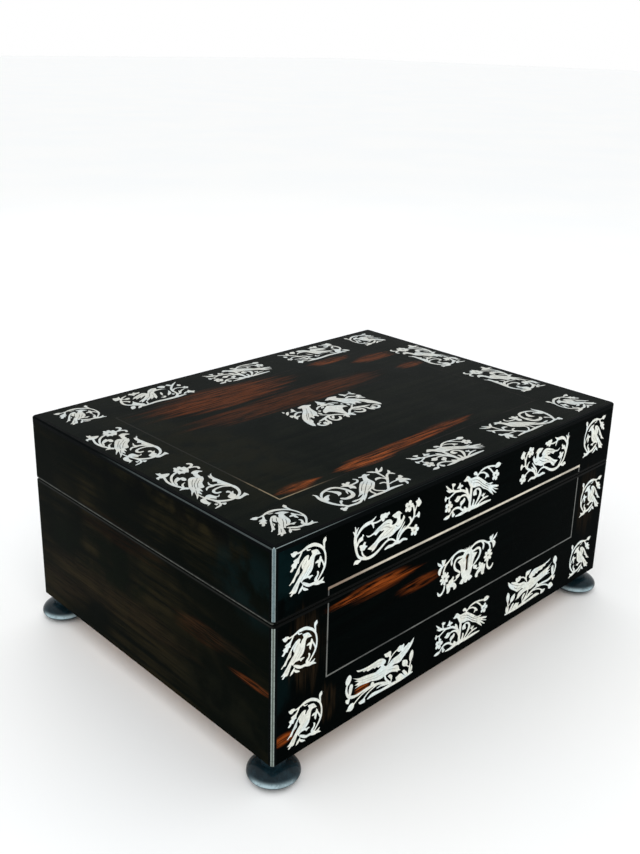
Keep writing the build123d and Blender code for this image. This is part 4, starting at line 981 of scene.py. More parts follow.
def screw_head(name, x, y, z, radius, up):
    """A slotted screw head with a bevelled edge, standing a hair proud of the brass."""
    side = 1 if up else -1
    bpy.ops.mesh.primitive_cylinder_add(
        vertices=SCREW_SIDES, radius=radius, depth=SCREW_HEIGHT, location=(0, 0, 0)
    )
    obj = bpy.context.active_object
    obj.name = name
    bpy.ops.object.mode_set(mode="EDIT")
    bpy.ops.mesh.select_all(action="SELECT")
    bpy.ops.mesh.bevel(offset=SCREW_BEVEL, segments=1, affect="EDGES")
    bpy.ops.object.mode_set(mode="OBJECT")
    bpy.ops.mesh.primitive_cube_add(size=1, location=(0, 0, side * SCREW_HEIGHT / 2))
    cutter = bpy.context.active_object
    cutter.scale = (radius * SLOT_REACH, SLOT_WIDTH, SLOT_HEIGHT)
    bpy.ops.object.transform_apply(location=True, rotation=True, scale=True)
    only(obj)
    cut = obj.modifiers.new("Slot", "BOOLEAN")
    cut.operation, cut.object, cut.solver = "DIFFERENCE", cutter, "EXACT"
    bpy.ops.object.modifier_apply(modifier=cut.name)
    bpy.data.objects.remove(cutter)
    obj.location = (x * MM, y * MM, z * MM + side * (SCREW_PROUD - SCREW_HEIGHT / 2))
    obj.rotation_euler = (0, 0, radians(SLOT_TURN + SLOT_TURN_ACROSS * x + SLOT_TURN_DEEP * y))
    bpy.ops.object.transform_apply(location=True, rotation=True, scale=True)
    return obj


class InlaidBoxSettings(bpy.types.PropertyGroup):
    """The sizes and colours that a user would change."""

    pearl_thickness: FloatProperty(
        name="Pearl Thickness", description="How deep the pearl lies in the veneer",
        default=0.0006, unit="LENGTH", subtype="DISTANCE",
    )
    pearl_gap: FloatProperty(
        name="Pearl Gap", description="The dark line round each piece of pearl",
        default=0.00004, unit="LENGTH", subtype="DISTANCE",
    )
    string_width: FloatProperty(
        name="Stringing Width", description="The width of the light lines",
        default=0.0009, unit="LENGTH", subtype="DISTANCE",
    )
    top_string_width: FloatProperty(
        name="Upper Stringing Width", description="The width of the light line above the front panel",
        default=0.0015, unit="LENGTH", subtype="DISTANCE",
    )
    screw_radius: FloatProperty(
        name="Screw Head Radius", description="The radius of the brass screw heads",
        default=0.0018, unit="LENGTH", subtype="DISTANCE",
    )
    dark_wood: FloatVectorProperty(
        name="Dark Veneer", description="The ground colour of the veneer",
        default=(0.001, 0.0026, 0.0019, 1), subtype="COLOR", size=4,
    )
    red_wood: FloatVectorProperty(
        name="Red Figure", description="The colour of the veneer's streaks",
        default=(0.26, 0.062, 0.014, 1), subtype="COLOR", size=4,
    )
    pearl: FloatVectorProperty(
        name="Pearl", description="The milky colour of the shell",
        default=(0.91, 0.955, 0.92, 1), subtype="COLOR", size=4,
    )
    brass: FloatVectorProperty(
        name="Brass", description="The colour of the hinges and the lock",
        default=(0.55, 0.37, 0.13, 1), subtype="COLOR", size=4,
    )
    lining: FloatVectorProperty(
        name="Lining", description="The colour of the velvet",
        default=(0.14, 0.008, 0.014, 1), subtype="COLOR", size=4,
    )


def settings():
    """The settings of this scene."""
    return bpy.context.scene.inlaid_box


def paint(nodes, material):
    """Gives a material to CAD nodes through their slots."""
    for name in nodes:
        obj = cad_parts[name]
        if not obj.material_slots:
            obj.data.materials.append(material)
        for slot in obj.material_slots:
            slot.material = material


def finish_piece(obj, material, body, node=None):
    """Gives a new piece its material, the body it rides, and the node it stands for."""
    obj.data.materials.clear()
    obj.data.materials.append(material)
    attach(obj, body)
    if node:
        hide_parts(node)


def edges_of(node):
    """A node's lowest and highest corners in millimetres."""
    lo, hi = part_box(node)
    return [v / MM for v in lo], [v / MM for v in hi]


class Tree:
    """A short way to lay out shader nodes."""

    def __init__(self, tree):
        self.tree = tree

    def give(self, socket, value):
        """Links a socket to another one, or sets its value."""
        if isinstance(value, bpy.types.NodeSocket):
            self.tree.links.new(value, socket)
        else:
            socket.default_value = value

    def add(self, kind, settings=None, **inputs):
        """Adds a node, sets its options, and fills its inputs by name, or by number as i0 and i1."""
        node = self.tree.nodes.new(kind)
        for name, value in (settings or {}).items():
            setattr(node, name, value)
        for name, value in inputs.items():
            key = int(name[1:]) if name[0] == "i" and name[1:].isdigit() else name.replace("_", " ")
            self.give(node.inputs[key], value)
        return node

    def use(self, made, **inputs):
        """Uses a node group and gives its outputs."""
        return self.add("ShaderNodeGroup", {"node_tree": made}, **inputs).outputs

    def maths(self, operation, a, b=0.0):
        """One sum on numbers."""
        return self.add("ShaderNodeMath", {"operation": operation}, i0=a, i1=b).outputs[0]

    def times(self, first, *others):
        """The product of numbers."""
        for other in others:
            first = self.maths("MULTIPLY", first, other)
        return first

    def blend(self, a, b, share):
        """Two numbers added, the first by its share and the second by the rest."""
        return self.maths("ADD", self.times(a, share), self.times(b, 1 - share))

    def sway(self, value, around, amount):
        """A number with a noise from 0 to 1 added to both sides of it."""
        return self.maths("ADD", value, self.times(self.maths("SUBTRACT", around, 0.5), amount))

    def vector(self, operation, a, b=(0, 0, 0)):
        """One sum on vectors."""
        node = self.add("ShaderNodeVectorMath", {"operation": operation}, i0=a, i1=b)
        return node.outputs[1] if operation in ("LENGTH", "DISTANCE") else node.outputs[0]

    def split(self, vector):
        """The three numbers of a vector."""
        return self.add("ShaderNodeSeparateXYZ", Vector=vector).outputs

    def noise(self, vector, scale, detail=4.0, roughness=0.5, distortion=0.0):
        """Noise from 0 to 1."""
        inputs = {"Scale": scale, "Detail": detail, "Roughness": roughness, "Distortion": distortion}
        return self.add("ShaderNodeTexNoise", Vector=vector, **inputs).outputs[0]

    def range(self, value, low, high, to_low=0.0, to_high=1.0):
        """Maps one range to another, and stops at its ends."""
        settings = {"interpolation_type": "SMOOTHSTEP"}
        node = self.add("ShaderNodeMapRange", settings, i0=value, i1=low, i2=high, i3=to_low, i4=to_high)
        return node.outputs[0]

    def between(self, value, start, full, fade, end):
        """1 from full to fade, and down to 0 at start and end."""
        return self.times(self.range(value, start, full), self.range(value, fade, end, 1.0, 0.0))

    def mix(self, factor, a, b, blend="MIX"):
        """Mixes two colours."""
        settings = {"data_type": "RGBA", "blend_type": blend}
        return self.add("ShaderNodeMix", settings, i0=factor, i6=a, i7=b).outputs[2]


NUMBER, COLOUR, VECTOR = "NodeSocketFloat", "NodeSocketColor", "NodeSocketVector"
WHITE = (1, 1, 1, 1)
LOOK = [("Color", COLOUR), ("Roughness", NUMBER), ("Height", NUMBER)]


def group(name, inputs, outputs, build):
    """A shader node group with named sockets, made once. Build fills it and returns its output values."""
    if name in bpy.data.node_groups:
        return bpy.data.node_groups[name]
    made = bpy.data.node_groups.new(name, "ShaderNodeTree")
    for label, kind, default in [("Position", VECTOR, None), *inputs]:
        socket = made.interface.new_socket(label, in_out="INPUT", socket_type=kind)
        if default is not None:
            socket.default_value = default
    for label, kind in outputs:
        made.interface.new_socket(label, in_out="OUTPUT", socket_type=kind)
    tree = Tree(made)
    given = tree.add("NodeGroupInput")
    results = build(tree, given.outputs)
    end = made.nodes.new("NodeGroupOutput")
    for (label, _), value in zip(outputs, results):
        made.links.new(value, end.inputs[label])
    return made


def streak_group():
    """A patch of another tone with ragged ends, inside an ellipse."""

    def build(tree, given):
        along = tree.vector("MULTIPLY", given["Position"], given["Grain"])
        wander, ragged = tree.noise(along, 1.0, 3.0, 0.6), tree.noise(along, 4.0, 5.0, 0.6)
        away = tree.vector("SUBTRACT", given["Position"], given["Middle"])
        near = tree.vector("LENGTH", tree.vector("DIVIDE", away, given["Half Size"]))
        inside = tree.range(tree.sway(near, wander, 1.6), 1.05, 0.55)
        return [tree.times(inside, tree.range(ragged, 0.36, 0.6), given["Strength"])]

    inputs = [
        ("Middle", VECTOR, (0, 0, 0)), ("Half Size", VECTOR, (1, 1, 1)), ("Grain", VECTOR, (1, 1, 1)),
        ("Strength", NUMBER, 1.0),
    ]
    return group("Streak", inputs, [("Mask", NUMBER)], build)


def wood_group():
    """Fine straight grain between two colours, with pores, and a soft bloom in the polish."""

    def build(tree, given):
        along = tree.vector("MULTIPLY", given["Position"], given["Grain"])
        wide, fine = tree.noise(along, 0.6, 3.0, 0.55, 0.4), tree.noise(along, 5.0, 5.0, 0.65)
        pores = tree.range(tree.noise(along, 16.0, 2.0, 0.5), 0.62, 0.72)
        cloud = tree.noise(given["Position"], 17.0, 2.0, 0.5, 0.8)
        bloom = tree.noise(given["Position"], 28.0, 3.0, 0.6)
        tone = tree.range(tree.blend(wide, fine, 0.65), 0.38, 0.64)
        tone = tree.times(tone, tree.range(cloud, 0.36, 0.62, given["Evenness"], 1.0))
        colour = tree.mix(tone, given["Dark"], given["Light"])
        colour = tree.mix(tree.times(pores, 0.5), colour, given["Dark"])
        height = tree.maths("SUBTRACT", tree.times(fine, 0.4), pores)
        return [colour, tree.sway(given["Roughness"], bloom, 0.16), height]

    inputs = [
        ("Grain", VECTOR, (20, 300, 300)), ("Dark", COLOUR, (0, 0, 0, 1)), ("Light", COLOUR, WHITE),
        ("Roughness", NUMBER, 0.3), ("Evenness", NUMBER, 1.0),
    ]
    return group("Wood Grain", inputs, LOOK, build)


def shell_group():
    """Mother-of-pearl: milky plates that turn a little green, pink or gold."""

    def build(tree, given):
        plates = tree.add("ShaderNodeTexVoronoi", Vector=given["Position"], Scale=140.0)
        tint = tree.noise(plates.outputs["Position"], 90.0, 2.0)
        flow = tree.noise(given["Position"], 260.0, 3.0, 0.5, 1.2)
        colour = tree.mix(tree.range(tint, 0.4, 0.62), given["Warm"], given["Cool"])
        colour = tree.mix(tree.range(flow, 0.5, 0.72, 0.0, 0.35), colour, given["Blush"])
        shade = tree.range(tree.noise(given["Position"], 420.0, 4.0, 0.6), 0.35, 0.7, 0.82, 1.0)
        grey = tree.add("ShaderNodeCombineXYZ", X=shade, Y=shade, Z=shade).outputs[0]
        return [tree.mix(1.0, colour, grey, "MULTIPLY"), tree.range(flow, 0.3, 0.7, 0.22, 0.36), flow]

    inputs = [("Warm", COLOUR, WHITE), ("Cool", COLOUR, WHITE), ("Blush", COLOUR, WHITE)]
    return group("Pearl Shell", inputs, LOOK, build)


def wear_group():
    """Rubbed edges and dirt: a coarse mask and a fine noise."""

    def build(tree, given):
        coarse = tree.noise(given["Position"], given["Scale"], 5.0, 0.62)
        fine = tree.noise(given["Position"], tree.times(given["Scale"], 9.0), 3.0, 0.55)
        return [tree.range(tree.blend(coarse, fine, 0.7), 0.42, 0.62), fine]

    return group("Wear", [("Scale", NUMBER, 60.0)], [("Mask", NUMBER), ("Fine", NUMBER)], build)


def toned(colour, red, green, blue):
    """A colour with each part multiplied."""
    return (colour[0] * red, colour[1] * green, colour[2] * blue, 1)


def surface(name):
    """An empty material with its tree, its shader and the object's own coordinates."""
    made = bpy.data.materials.new(name)
    made.use_nodes = True
    made.node_tree.nodes.clear()
    tree = Tree(made.node_tree)
    shader = tree.add("ShaderNodeBsdfPrincipled")
    tree.add("ShaderNodeOutputMaterial", Surface=shader.outputs[0])
    return made, tree, shader, tree.add("ShaderNodeTexCoord").outputs["Object"]


def worn_surface(name, scale):
    """The same as surface, with the wear masks over it."""
    made, tree, shader, position = surface(name)
    return made, tree, shader, position, tree.use(wear_group(), Position=position, Scale=scale)


def fill(tree, shader, height, relief, depth=0.0001, **values):
    """Gives the shader its relief, and fills its sockets with values or links."""
    node = tree.add("ShaderNodeBump", Strength=relief, Distance=depth, Height=height)
    tree.give(shader.inputs["Normal"], node.outputs[0])
    for name, value in values.items():
        tree.give(shader.inputs[name.replace("_", " ")], value)


def wood(name, grain, dark, light, roughness, coat=0.0, streaks=(), relief=0.15, shine=0.5, evenness=1.0):
    """A polished wood whose grain runs along the axis with the smallest stretch."""
    made, tree, shader, position = surface(name)
    inputs = {"Dark": dark, "Light": light, "Roughness": roughness, "Evenness": evenness}
    figure = tree.use(wood_group(), Position=position, Grain=grain, **inputs)
    colour = figure["Color"]
    for middle, half, strength, own_grain, tone in streaks:
        patch = tree.use(
            streak_group(), Position=position, Middle=middle, Half_Size=half, Grain=own_grain or grain,
            Strength=strength,
        )
        colour = tree.mix(patch[0], colour, tone or tuple(settings().red_wood))
    fill(
        tree, shader, figure["Height"], relief, 0.0002, Base_Color=colour, Roughness=figure["Roughness"],
        Coat_Weight=coat, Coat_Roughness=0.12, Specular_IOR_Level=shine,
    )
    return made


def worn(name, dark, light, roughness, scale):
    """A metal between two colours, mixed by wear."""
    made, tree, shader, _, look = worn_surface(name, scale)
    rough = tree.range(look["Mask"], 0.0, 1.0, roughness * 0.8, roughness * 1.25)
    colour = tree.mix(look["Mask"], dark, light)
    fill(tree, shader, look["Fine"], 0.1, Base_Color=colour, Roughness=rough, Metallic=1.0)
    return made


# Directions of the grain, as stretches of its noise along x, y and z.
ALONG_X, ALONG_Y, UPRIGHT, SOFT = (14, 320, 320), (320, 14, 320), (320, 320, 14), (14, 14, 14)

# Tones of the veneer's patches. Sheen is a painted reflection: the pale blue light that the front left
# corner shows.
BROWN = (0.042, 0.025, 0.012, 1)
SHEEN_REFLECTION = (0.0024, 0.0118, 0.0132, 1)
EMBER = (0.235, 0.05, 0.008, 1)
MOSS = (0.0008, 0.0026, 0.0008, 1)
# Haze is a painted grey reflection on the polish.
HAZE_REFLECTION = (0.0062, 0.0068, 0.0036, 1)
BLACK = (0.0004, 0.0009, 0.0007, 1)

# Streaks and patches in millimetres: across, up, half across, half up, strength, and for some their own
# grain and their own tone in place of the veneer's grain and the red figure.
# The haze patch over the top's left end is a painted reflection.
TOP_STREAKS = [
    (-40, 63.5, 66, 18, 0.33), (-11, 32, 92, 14, 0.2), (67.5, 74, 20, 6, 0.45), (100, 59.5, 22, 8, 0.4),
    (107.5, 29.5, 14, 6, 0.3), (-97.5, -71, 18, 5.2, 1.0), (-44, -71, 26, 6.2, 0.88),
    (-8, -68.8, 38, 5.4, 0.58), (30, -66, 32, 4.6, 0.38), (-112, -15, 50, 90, 0.8, SOFT, HAZE_REFLECTION),
]
# Both sheen patches, near the left corner, are painted reflections.
FRONT_STREAKS = [
    (-152, 124, 42, 32, 0.52, SOFT, SHEEN_REFLECTION), (-150, 60, 12, 30, 0.3, SOFT, SHEEN_REFLECTION),
    (-131, 76, 13, 27, 0.3, UPRIGHT, BROWN), (-113, 36, 8, 13, 0.3, UPRIGHT, BROWN),
    (131, 76, 13, 27, 0.2, UPRIGHT, BROWN), (-80, 92.8, 38, 4.8, 0.98, None, EMBER),
    (-43, 80.5, 20, 4.6, 0.4, None, EMBER), (-146, 29.5, 10, 4.6, 0.9, None, EMBER),
    (-87.5, 31.5, 7, 2.6, 1.2, None, EMBER),
]
# The sheen patch near the front of the lid's end is a painted reflection.
SIDE_STREAKS = [
    (-100, 114, 38, 26, 0.38, SOFT, SHEEN_REFLECTION), (0, 134, 122, 11, 0.85, SOFT, BLACK),
    # The haze patch low near the front of the base's end is a painted reflection.
    (-72, 34, 52, 15, 0.55, SOFT, HAZE_REFLECTION), (30, 50, 88, 12, 0.2, None, BROWN),
    (38, 72, 62, 18, 0.9, SOFT, MOSS), (-70, 70, 36, 5, 0.22, None, BROWN), (-100, 58, 19, 2.6, 0.3),
    (-55.5, 68.5, 26, 8, 0.04), (90, 33, 34, 12, 0.2, None, BROWN), (20, 95, 50, 9, 0.02),
]

# How deep the patches reach into the wood, in metres.
STREAK_DEPTH = 0.02


def spots(rows, face):
    """Streaks of a face as boxes in the object's coordinates, with their strength, grain and tone."""
    found = []
    for a, b, half_a, half_b, strength, *own in rows:
        a, b, half_a, half_b = a * MM, b * MM, half_a * MM, half_b * MM
        middle, half = {
            "top": ((a, b, TOP), (half_a, half_b, STREAK_DEPTH)),
            "front": ((a, -HALF_DEPTH, b), (half_a, STREAK_DEPTH, half_b)),
            "side": ((-HALF_LENGTH, a, b), (STREAK_DEPTH, half_a, half_b)),
        }[face]
        own_grain, tone = own or (None, None)
        found.append((middle, half, strength, own_grain, tone))
    return found


def pearl_material(name, light):
    """Pearl for one face; the top's is greyer."""
    made, tree, shader, position = surface(name)
    red, green, blue = (v * light for v in settings().pearl[:3])
    look = tree.use(
        shell_group(), Position=position, Warm=(red, green * 0.97, blue * 0.9, 1),
        Cool=(red * 0.95, green, blue * 1.01, 1), Blush=(red, green * 0.92, blue * 0.92, 1),
    )
    fill(
        tree, shader, look["Height"], 0.12, Base_Color=look["Color"], Roughness=look["Roughness"],
        Coat_Weight=0.35, Coat_Roughness=0.1,
    )
    return made


def edging_material():
    """Ebony strips with painted highlights where they round the corner nearest the lamp and along the
    arrises.
    """
    made, tree, shader, position, look = worn_surface("Ebony Edging", 120.0)
    x, y, z = tree.split(position)
    # How far a point stands out from where the rounding starts on each side.
    left = tree.maths("SUBTRACT", tree.times(x, -1.0), HALF_LENGTH - EDGE_RADIUS)
    front = tree.maths("SUBTRACT", tree.times(y, -1.0), HALF_DEPTH - EDGE_RADIUS)
    above = tree.maths("SUBTRACT", z, TOP - EDGE_RADIUS)
    lid = tree.range(z, *JOINT)

    def from_edge(value, low, high, *levels):
        return tree.range(value, EDGE_RADIUS * low, EDGE_RADIUS * high, *levels)

    # The pale strip round the front left corner, in two lines on the base, and the thin lines along the
    # front and end arrises are painted highlights.
    inward = tree.maths("MINIMUM", left, front)
    apart = tree.maths("ABSOLUTE", tree.maths("SUBTRACT", left, front))
    two_lines = tree.maths("MAXIMUM", tree.range(apart, 0.0001, 0.0004, 0.25, 1.0), lid)
    corner = tree.times(from_edge(inward, 0.36, 0.46), two_lines)
    front_arris = from_edge(tree.maths("MINIMUM", above, front), 0.77, 0.8)
    front_arris = tree.times(front_arris, tree.range(x, -0.151, -0.085, 0.7, 0.03))
    end_arris = tree.times(from_edge(above, 0.5, 0.6), from_edge(left, 0.8, 0.88))
    end_arris = tree.times(end_arris, tree.range(y, 0.045, -0.02, 0.0, 0.17))
    arris = tree.maths("MAXIMUM", front_arris, end_arris)
    patchy = tree.range(look["Fine"], 0.2, 0.6, 0.6, 1.0)
    painted_highlight = tree.times(tree.maths("MAXIMUM", corner, arris), patchy)
    # The colours of the painted highlights, bluer on the lid.
    pale = tree.mix(lid, (0.19, 0.225, 0.2, 1), (0.13, 0.18, 0.19, 1))
    pale = tree.mix(from_edge(inward, 0.46, 0.56, 0.45, 0.0), pale, (0.5, 0.58, 0.56, 1))
    fill(
        tree, shader, look["Fine"], 0.1, Base_Color=tree.mix(painted_highlight, (0.0012, 0.0019, 0.0021, 1), pale),
        Roughness=tree.range(look["Mask"], 0.0, 1.0, 0.26, 0.4), Specular_IOR_Level=0.006,
    )
    return made


def rim_material():
    """Lippings: dark wood with a painted highlight line along each end, pale on the lid and dull on the
    base.
    """
    made, tree, shader, position, look = worn_surface("Rim Lipping", 45.0)
    x, _, z = tree.split(position)
    base_top, lid_foot = edges_of("base_lipping")[1][2] * MM, edges_of("lid_lipping")[0][2] * MM
    at_end = tree.range(tree.maths("ABSOLUTE", x), 0.1515, 0.152)
    # Painted highlight lines over the lid's foot and the base's top: where each line starts, is full,
    # fades and ends.
    lid_highlight = tree.between(z, *(lid_foot + step for step in (-0.0003, -0.0001, 0.0009, 0.0012)))
    base_highlight = tree.between(z, *(base_top + step for step in (-0.0014, -0.0012, -0.0007, -0.0004)))
    patchy = tree.range(look["Fine"], 0.3, 0.65, 0.45, 1.0)
    dark, dull, pale = (0.0014, 0.0019, 0.0016, 1), (0.0095, 0.0105, 0.009, 1), (0.085, 0.091, 0.08, 1)
    colour = tree.mix(tree.times(base_highlight, at_end), dark, dull)
    colour = tree.mix(tree.times(lid_highlight, at_end, patchy), colour, pale)
    fill(tree, shader, look["Fine"], 0.1, Base_Color=colour, Roughness=0.42, Specular_IOR_Level=0.02)
    return made


def string_material():
    """Box stringing on the front: beige above the panel, grey and rubbed away round the rest."""
    made, tree, shader, position, look = worn_surface("Front Stringing", 45.0)
    x, _, z = tree.split(position)
    dull = tree.mix(look["Mask"], (0.105, 0.11, 0.1, 1), (0.02, 0.0225, 0.021, 1))
    bright = tree.mix(look["Mask"], (0.62, 0.56, 0.45, 1), (0.4, 0.36, 0.29, 1))
    bright = tree.mix(tree.range(x, -0.112, -0.06), (0.19, 0.13, 0.085, 1), bright)
    # The beige starts just under the line above the panel.
    colour = tree.mix(tree.range(z, 0.1042, 0.1046), dull, bright)
    fill(tree, shader, look["Fine"], 0.1, Base_Color=colour, Roughness=0.45)
    return made


def top_string_material():
    """The top's stringing, darkened with age, with its left line paler and a painted highlight at the
    corner nearest the lamp.
    """
    made, tree, shader, position, look = worn_surface("Top Stringing", 50.0)
    away = tree.vector("DISTANCE", position, (-TOP_STRING[0] * MM, -TOP_STRING[1] * MM, TOP))
    dark = tree.mix(look["Mask"], (0.0012, 0.0015, 0.0013, 1), (0.01, 0.0095, 0.008, 1))
    dark = tree.mix(tree.range(tree.split(position)[0], -0.1142, -0.113), (0.014, 0.0145, 0.012, 1), dark)
    pale = tree.mix(look["Mask"], (0.2, 0.16, 0.1, 1), (0.09, 0.07, 0.045, 1))
    # Pale round the front left corner: a painted highlight.
    colour = tree.mix(tree.range(away, 0.008, 0.045, 1.0, 0.0), dark, pale)
    fill(tree, shader, look["Fine"], 0.1, Base_Color=colour, Roughness=0.45, Specular_IOR_Level=0.015)
    return made


def foot_material():
    """Ebonised wood with a gloss, and a painted highlight band where the rim turns under."""
    made, tree, shader, position, look = worn_surface("Ebonised Foot", 120.0)
    x, y, z = tree.split(position)
    from_middle = [
        tree.maths("SUBTRACT", value, tree.times(tree.maths("SIGN", value), centre))
        for value, centre in zip((x, y), FOOT_CENTRE)
    ]
    facing = tree.maths("ADD", *(tree.times(value, lit) for value, lit in zip(from_middle, FOOT_LIT)))
    # The band, brightest on the side that faces front left, is a painted highlight.
    rim = tree.times(tree.between(z, 0.0033, 0.0043, 0.0048, 0.0074), tree.range(facing, 0.005, 0.0125))
    rim = tree.maths("POWER", rim, 1.4)
    rim = tree.times(rim, tree.range(look["Mask"], 0.0, 1.0, 1.0, 0.6))
    black = tree.mix(look["Mask"], (0.003, 0.010, 0.014, 1), (0.008, 0.022, 0.03, 1))
    fill(
        tree, shader, look["Fine"], 0.08, Base_Color=tree.mix(rim, black, (0.37, 0.49, 0.53, 1)),
        Roughness=0.25, Coat_Weight=0.12, Coat_Roughness=0.1, Specular_IOR_Level=0.1,
    )
    return made


def velvet_material():
    """Short velvet in the colour of the settings, brushed a little."""
    colour = tuple(settings().lining)
    made, tree, shader, position = surface("Velvet")
    pile, brushed = tree.noise(position, 1100.0, 2.0), tree.noise(position, 22.0, 1.0)
    pile_shade = tree.range(pile, 0.35, 0.65, 0.0, 0.3)
    shade = tree.maths("ADD", pile_shade, tree.range(brushed, 0.4, 0.6, 0.0, 0.16))
    fill(
        tree, shader, pile, 0.6, 0.0003, Base_Color=tree.mix(shade, colour, toned(colour, 0.4, 0.4, 0.4)),
        Roughness=0.9, Sheen_Weight=0.5, Sheen_Roughness=0.35,
    )
    return made


# How pale each face's pearl is.
TOP_PEARL, FRONT_PEARL = 0.56, 0.86

# The dark and the light of the woods inside the box.
PINE = ((0.32, 0.17, 0.07, 1), (0.48, 0.29, 0.14, 1))
MAHOGANY = ((0.12, 0.03, 0.012, 1), (0.27, 0.085, 0.035, 1))
KNOB_WOOD = ((0.05, 0.014, 0.007, 1), (0.12, 0.04, 0.018, 1))

# The foot in millimetres: its radius, the height of its rim, how far the crown rises over the rim, the
# radius of base and neck, the top of the neck, the peg's radius.
FOOT_RADIUS, FOOT_RIM, FOOT_CROWN, FOOT_NECK, FOOT_TOP, FOOT_PEG = 14.5, 4.3, 5.8, 7.0, 16.0, 4
FOOT_POINTS, FOOT_STEPS = 26, 64

# The knob in millimetres: its radius, height and peg, then (radius, height) points of its foot and neck,
# the roundness of its head across, over and under the widest place, and its dimple below the top.
KNOB_RADIUS, KNOB_HEIGHT, KNOB_PEG = 4.0, 8, 1.6
KNOB_NECK = ((2.6, 0), (2.6, 0.6), (2.1, 1.4), (1.9, 2.6), (2.6, 3.8))
KNOB_ROUND, KNOB_ABOVE, KNOB_BELOW, KNOB_START = 1.3, 2.2, 1.5, -1.35
KNOB_DIMPLE = ((1.2, 0), (0.9, 0.25), (0, 0.25))
KNOB_POINTS, KNOB_STEPS = 10, 40

# The screws in millimetres: the length of a hinge and the distance of its screws from its middle, how far
# screws stand in from the edges of hinge, lock and link plate, and the heights of the brass faces.
HINGE_LENGTH, SCREW_PITCH = 38.0, 11.0
HINGE_INSET, LOCK_INSET, PLATE_INSET = 2.4, 2.6, 4.0
BASE_SCREWS, LID_SCREWS = 99.0, 99.2

# The stage in metres: the floor, and the lamps with their size, power, place and aim.
FLOOR_SIZE = 30
LAMPS = (
    ("key_lamp", 0.9, 3.5, (-0.55, -0.75, 1.15), (0, 0, 0.06)),
    ("window_lamp", 1.2, 1.5, (0.5, 1.1, 1.0), (0, 0, 0.1)),
    ("side_lamp", 0.9, 1.5, (-1.2, 0.2, 0.7), (0, 0, 0.06)),
)

# The camera, read from the photo: its turn, rise and roll about the aim, its distance, how far it stands
# to the right and up, and its lens with the shift of its film.
TURN, RISE, ROLL, AWAY = radians(-44.45), radians(19.08), radians(1.42), 0.6608
AIM, SHIFT = (0, 0, 0.0785), (-0.00627, 0.07669)
LENS, FILM_SHIFT = 41.71, (-0.0023, -0.0534)


def inlaid_face(name, node, body, levels, outline, motifs, lines, holes=()):
    """Makes the veneer, the pearl and the stringing of one face, which stand for three CAD nodes."""
    upright = name != "top"
    face, pearl = ("Front", FRONT_PEARL) if upright else ("Top", TOP_PEARL)
    gap = settings().pearl_gap / MM
    shapes = place(motifs, holes)
    sheet = panel(shapes + lines, outline, upright, levels, f"{name}_veneer_sheet", holes)
    finish_piece(sheet, bpy.data.materials[f"{face} Veneer"], body, f"{node}_veneer")
    pearls = inlay(shapes, upright, levels, f"{name}_pearl_motifs", gap)
    pearl_look = bpy.data.materials.get(f"{face} Pearl") or pearl_material(f"{face} Pearl", pearl)
    finish_piece(pearls, pearl_look, body, f"{node}_pearl")
    strings = inlay(lines, upright, levels, f"{name}_stringing", gap)
    finish_piece(strings, bpy.data.materials[f"{face} Stringing"], body, f"{node}_stringing")


class BOX_OT_inlaid_top(bpy.types.Operator):
    """Make the top veneer with its pearl and stringing"""

    bl_idname = "box.inlaid_top"
    bl_label = "Inlaid Top"

    def execute(self, context):
        s = settings()
        (x, y), half = TOP_STRING, s.string_width / MM / 2
        outer = rectangle(-x - half, -y - half, x + half, y + half)
        inner = rectangle(-x + half, -y + half, x - half, y - half)
        lo, hi = edges_of("lid_top_veneer")
        levels = (hi[2], hi[2] - s.pearl_thickness / MM, lo[2])
        outline = (lo[0], lo[1], hi[0], hi[1])
        line = filled([outer], through=[inner])
        inlaid_face("top", "lid_top", "lid", levels, outline, TOP_MOTIFS, [line])
        return {"FINISHED"}


class BOX_OT_inlaid_front(bpy.types.Operator):
    """Make the front veneers of the base and the lid with their pearl, stringing and keyhole"""

    bl_idname = "box.inlaid_front"
    bl_label = "Inlaid Front"

    def execute(self, context):
        s = settings()
        x, half, upper = FRONT_STRING, s.string_width / MM / 2, s.top_string_width / MM / 2
        for body, motifs, holes in (
            ("lid", LID_FRONT_MOTIFS, []), ("base", BASE_FRONT_MOTIFS, [keyhole_outline()])
        ):
            lo, hi = edges_of(f"{body}_front_veneer")
            if body == "lid":
                rim, outer, inner = lo[2] + STRING_SHORT, STRING_HIGH + upper, STRING_HIGH - upper
            else:
                rim, outer, inner = hi[2] - STRING_SHORT, STRING_LOW - half, STRING_LOW + half
            hoop = [
                (-x - half, rim), (-x - half, outer), (x + half, outer), (x + half, rim),
                (x - half, rim), (x - half, inner), (-x + half, inner), (-x + half, rim),
            ]
            levels = (-lo[1], -lo[1] - s.pearl_thickness / MM, -hi[1])
            outline, name = (lo[0], lo[2], hi[0], hi[2]), f"{body}_front"
            lines = [filled([np.array(hoop)])]
            inlaid_face(name, name, body, levels, outline, motifs, lines, holes)
        return {"FINISHED"}


